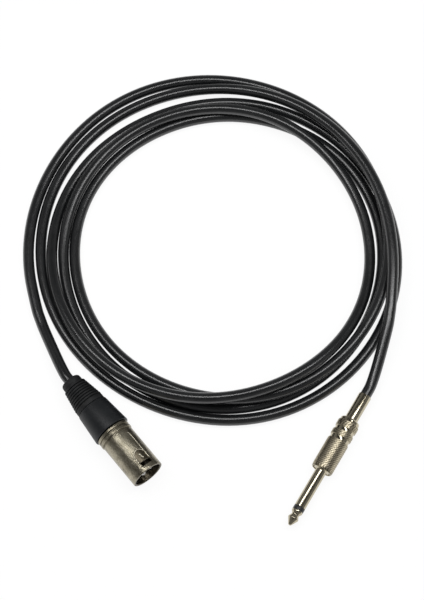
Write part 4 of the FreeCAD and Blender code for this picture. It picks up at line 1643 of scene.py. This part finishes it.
@dataclass
class Studio:
    """A plain white floor, soft light and the photograph's camera."""

    aim: Vector = field(default_factory=lambda: Vector((-0.2, -4.5, 0.0)) * MM)
    distance: float = 1.0
    elevation: float = 70.0
    lens: float = 104.7
    sensor: float = 36.0
    floor_size: float = 6.0
    floor_gap: float = 0.00005
    paper: float = 0.90
    lamps: tuple[Lamp, ...] = (Lamp("strip", (0.0, 0.10, 1.2), (1.7, 0.20), 7.2),
                               Lamp("fill", (0.0, 0.0, 1.6), (2.0, 2.0), 26.0, mirrored=False))
    walls: tuple[Pair, ...] = ((0.0, 0.10), (0.20, 0.22), (0.62, 0.20), (0.80, 0.06), (1.0, 0.06))

    def camera(self) -> None:
        """Place the camera at the photograph's angle."""
        data = bpy.data.cameras.new("camera")
        data.lens = self.lens
        data.sensor_fit = "VERTICAL"
        data.sensor_height = self.sensor
        rig = linked("camera", data)
        rise = math.radians(self.elevation)
        rig.location = self.aim + Vector((0, -math.cos(rise), math.sin(rise))) * self.distance
        rig.rotation_euler = Euler((math.pi / 2 - rise, 0, 0))
        bpy.context.scene.camera = rig

    def floor(self) -> None:
        """Lay a white floor that keeps a faint shadow."""
        bm = bmesh.new()
        bmesh.ops.create_grid(bm, x_segments=1, y_segments=1, size=self.floor_size / 2 / MM)
        plane = collect("floor", bm, Matrix.Translation((0, 0, -self.floor_gap)) @ Matrix.Scale(MM, 4))
        paint = Paint("floor_paper", roughness=0.9)
        paint.feed(paint.shader.inputs["Base Color"], (self.paper, self.paper, self.paper, 1.0))
        path = paint.node("ShaderNodeLightPath").outputs
        camera, glossy, clear = (Signal(paint, path["Is %s Ray" % ray])
                                 for ray in ("Camera", "Glossy", "Transmission"))
        seen = camera.at_least(glossy).at_least(clear)
        glow = paint.node("ShaderNodeEmission", {}, {"Color": (1, 1, 1, 1), "Strength": 1.0})
        mix = paint.node("ShaderNodeMixShader", {}, {
            0: seen * self.paper, 1: paint.shader.outputs[0], 2: glow.outputs[0]})
        paint.feed(paint.tree.nodes["Material Output"].inputs["Surface"], mix.outputs[0])
        plane.data.materials.append(paint.material)

    def world(self) -> None:
        """A dark ceiling over dim walls."""
        world = bpy.data.worlds.new("studio")
        bpy.context.scene.world = world
        world.use_nodes = True
        tree = world.node_tree
        place = tree.nodes.new("ShaderNodeTexCoord")
        split = tree.nodes.new("ShaderNodeSeparateXYZ")
        ramp = tree.nodes.new("ShaderNodeValToRGB")
        stops = ramp.color_ramp.elements
        stops[0].position, stops[1].position = self.walls[0][0], self.walls[-1][0]
        for position, _ in self.walls[1:-1]:
            stops.new(position)
        for stop, (_, level) in zip(stops, self.walls):
            stop.color = (level, level, level, 1)
        tree.links.new(place.outputs["Generated"], split.inputs[0])
        tree.links.new(split.outputs[2], ramp.inputs[0])
        tree.links.new(ramp.outputs[0], tree.nodes["Background"].inputs["Color"])

    def build(self) -> None:
        """Set up everything around the object."""
        bpy.context.scene.view_settings.view_transform = "Standard"
        self.camera()
        self.floor()
        for lamp in self.lamps:
            lamp.hang(self.aim)
        self.world()
        LOG.info("studio is set")


def stocked(seat: Seat) -> Stock:
    """Make the finishes that both connectors take.

    Args:
        seat: Whose coordinates their patterns follow.

    Returns:
        The finishes.
    """
    contact = PlatedMetal("contact_metal", seat, deep=(0.70, 0.69, 0.66), bright=(0.88, 0.87, 0.84),
                          gloss=0.28)
    red = MouldedPlastic("red_core", seat, deep=(0.42, 0.02, 0.015), light=(0.60, 0.05, 0.04), gloss=0.35)
    white = MouldedPlastic("white_core", seat, deep=(0.66, 0.66, 0.64), light=(0.80, 0.80, 0.78), gloss=0.35)
    cores = {Core.SHIELD: CopperBraid().material(), Core.HOT: red.material(), Core.COLD: white.material()}
    return Stock(SatinJacket().material(), contact.material(), cores)


def main() -> None:
    """Build the studio, the cable and both connectors."""
    logging.basicConfig(level=logging.INFO, format="%(message)s")
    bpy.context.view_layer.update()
    cable = Cable()
    plug = ThreePinPlug(cable.seat(lane=6.02, angle=227.2, height=8.907, heading=-50.9, tilt=3.0, roll=-16.0))
    jack = Jack(cable.seat(lane=7.56, angle=312.5, height=6.25, heading=-120.65))
    Studio().build()
    stock = stocked(plug.seat)
    line = cable.build(plug.seat, jack.seat, stock.jacket)
    plug.build(stock)
    on_cable = jack.build(stock)
    plug.seat.point(0)


if __name__ == "__main__":
    main()
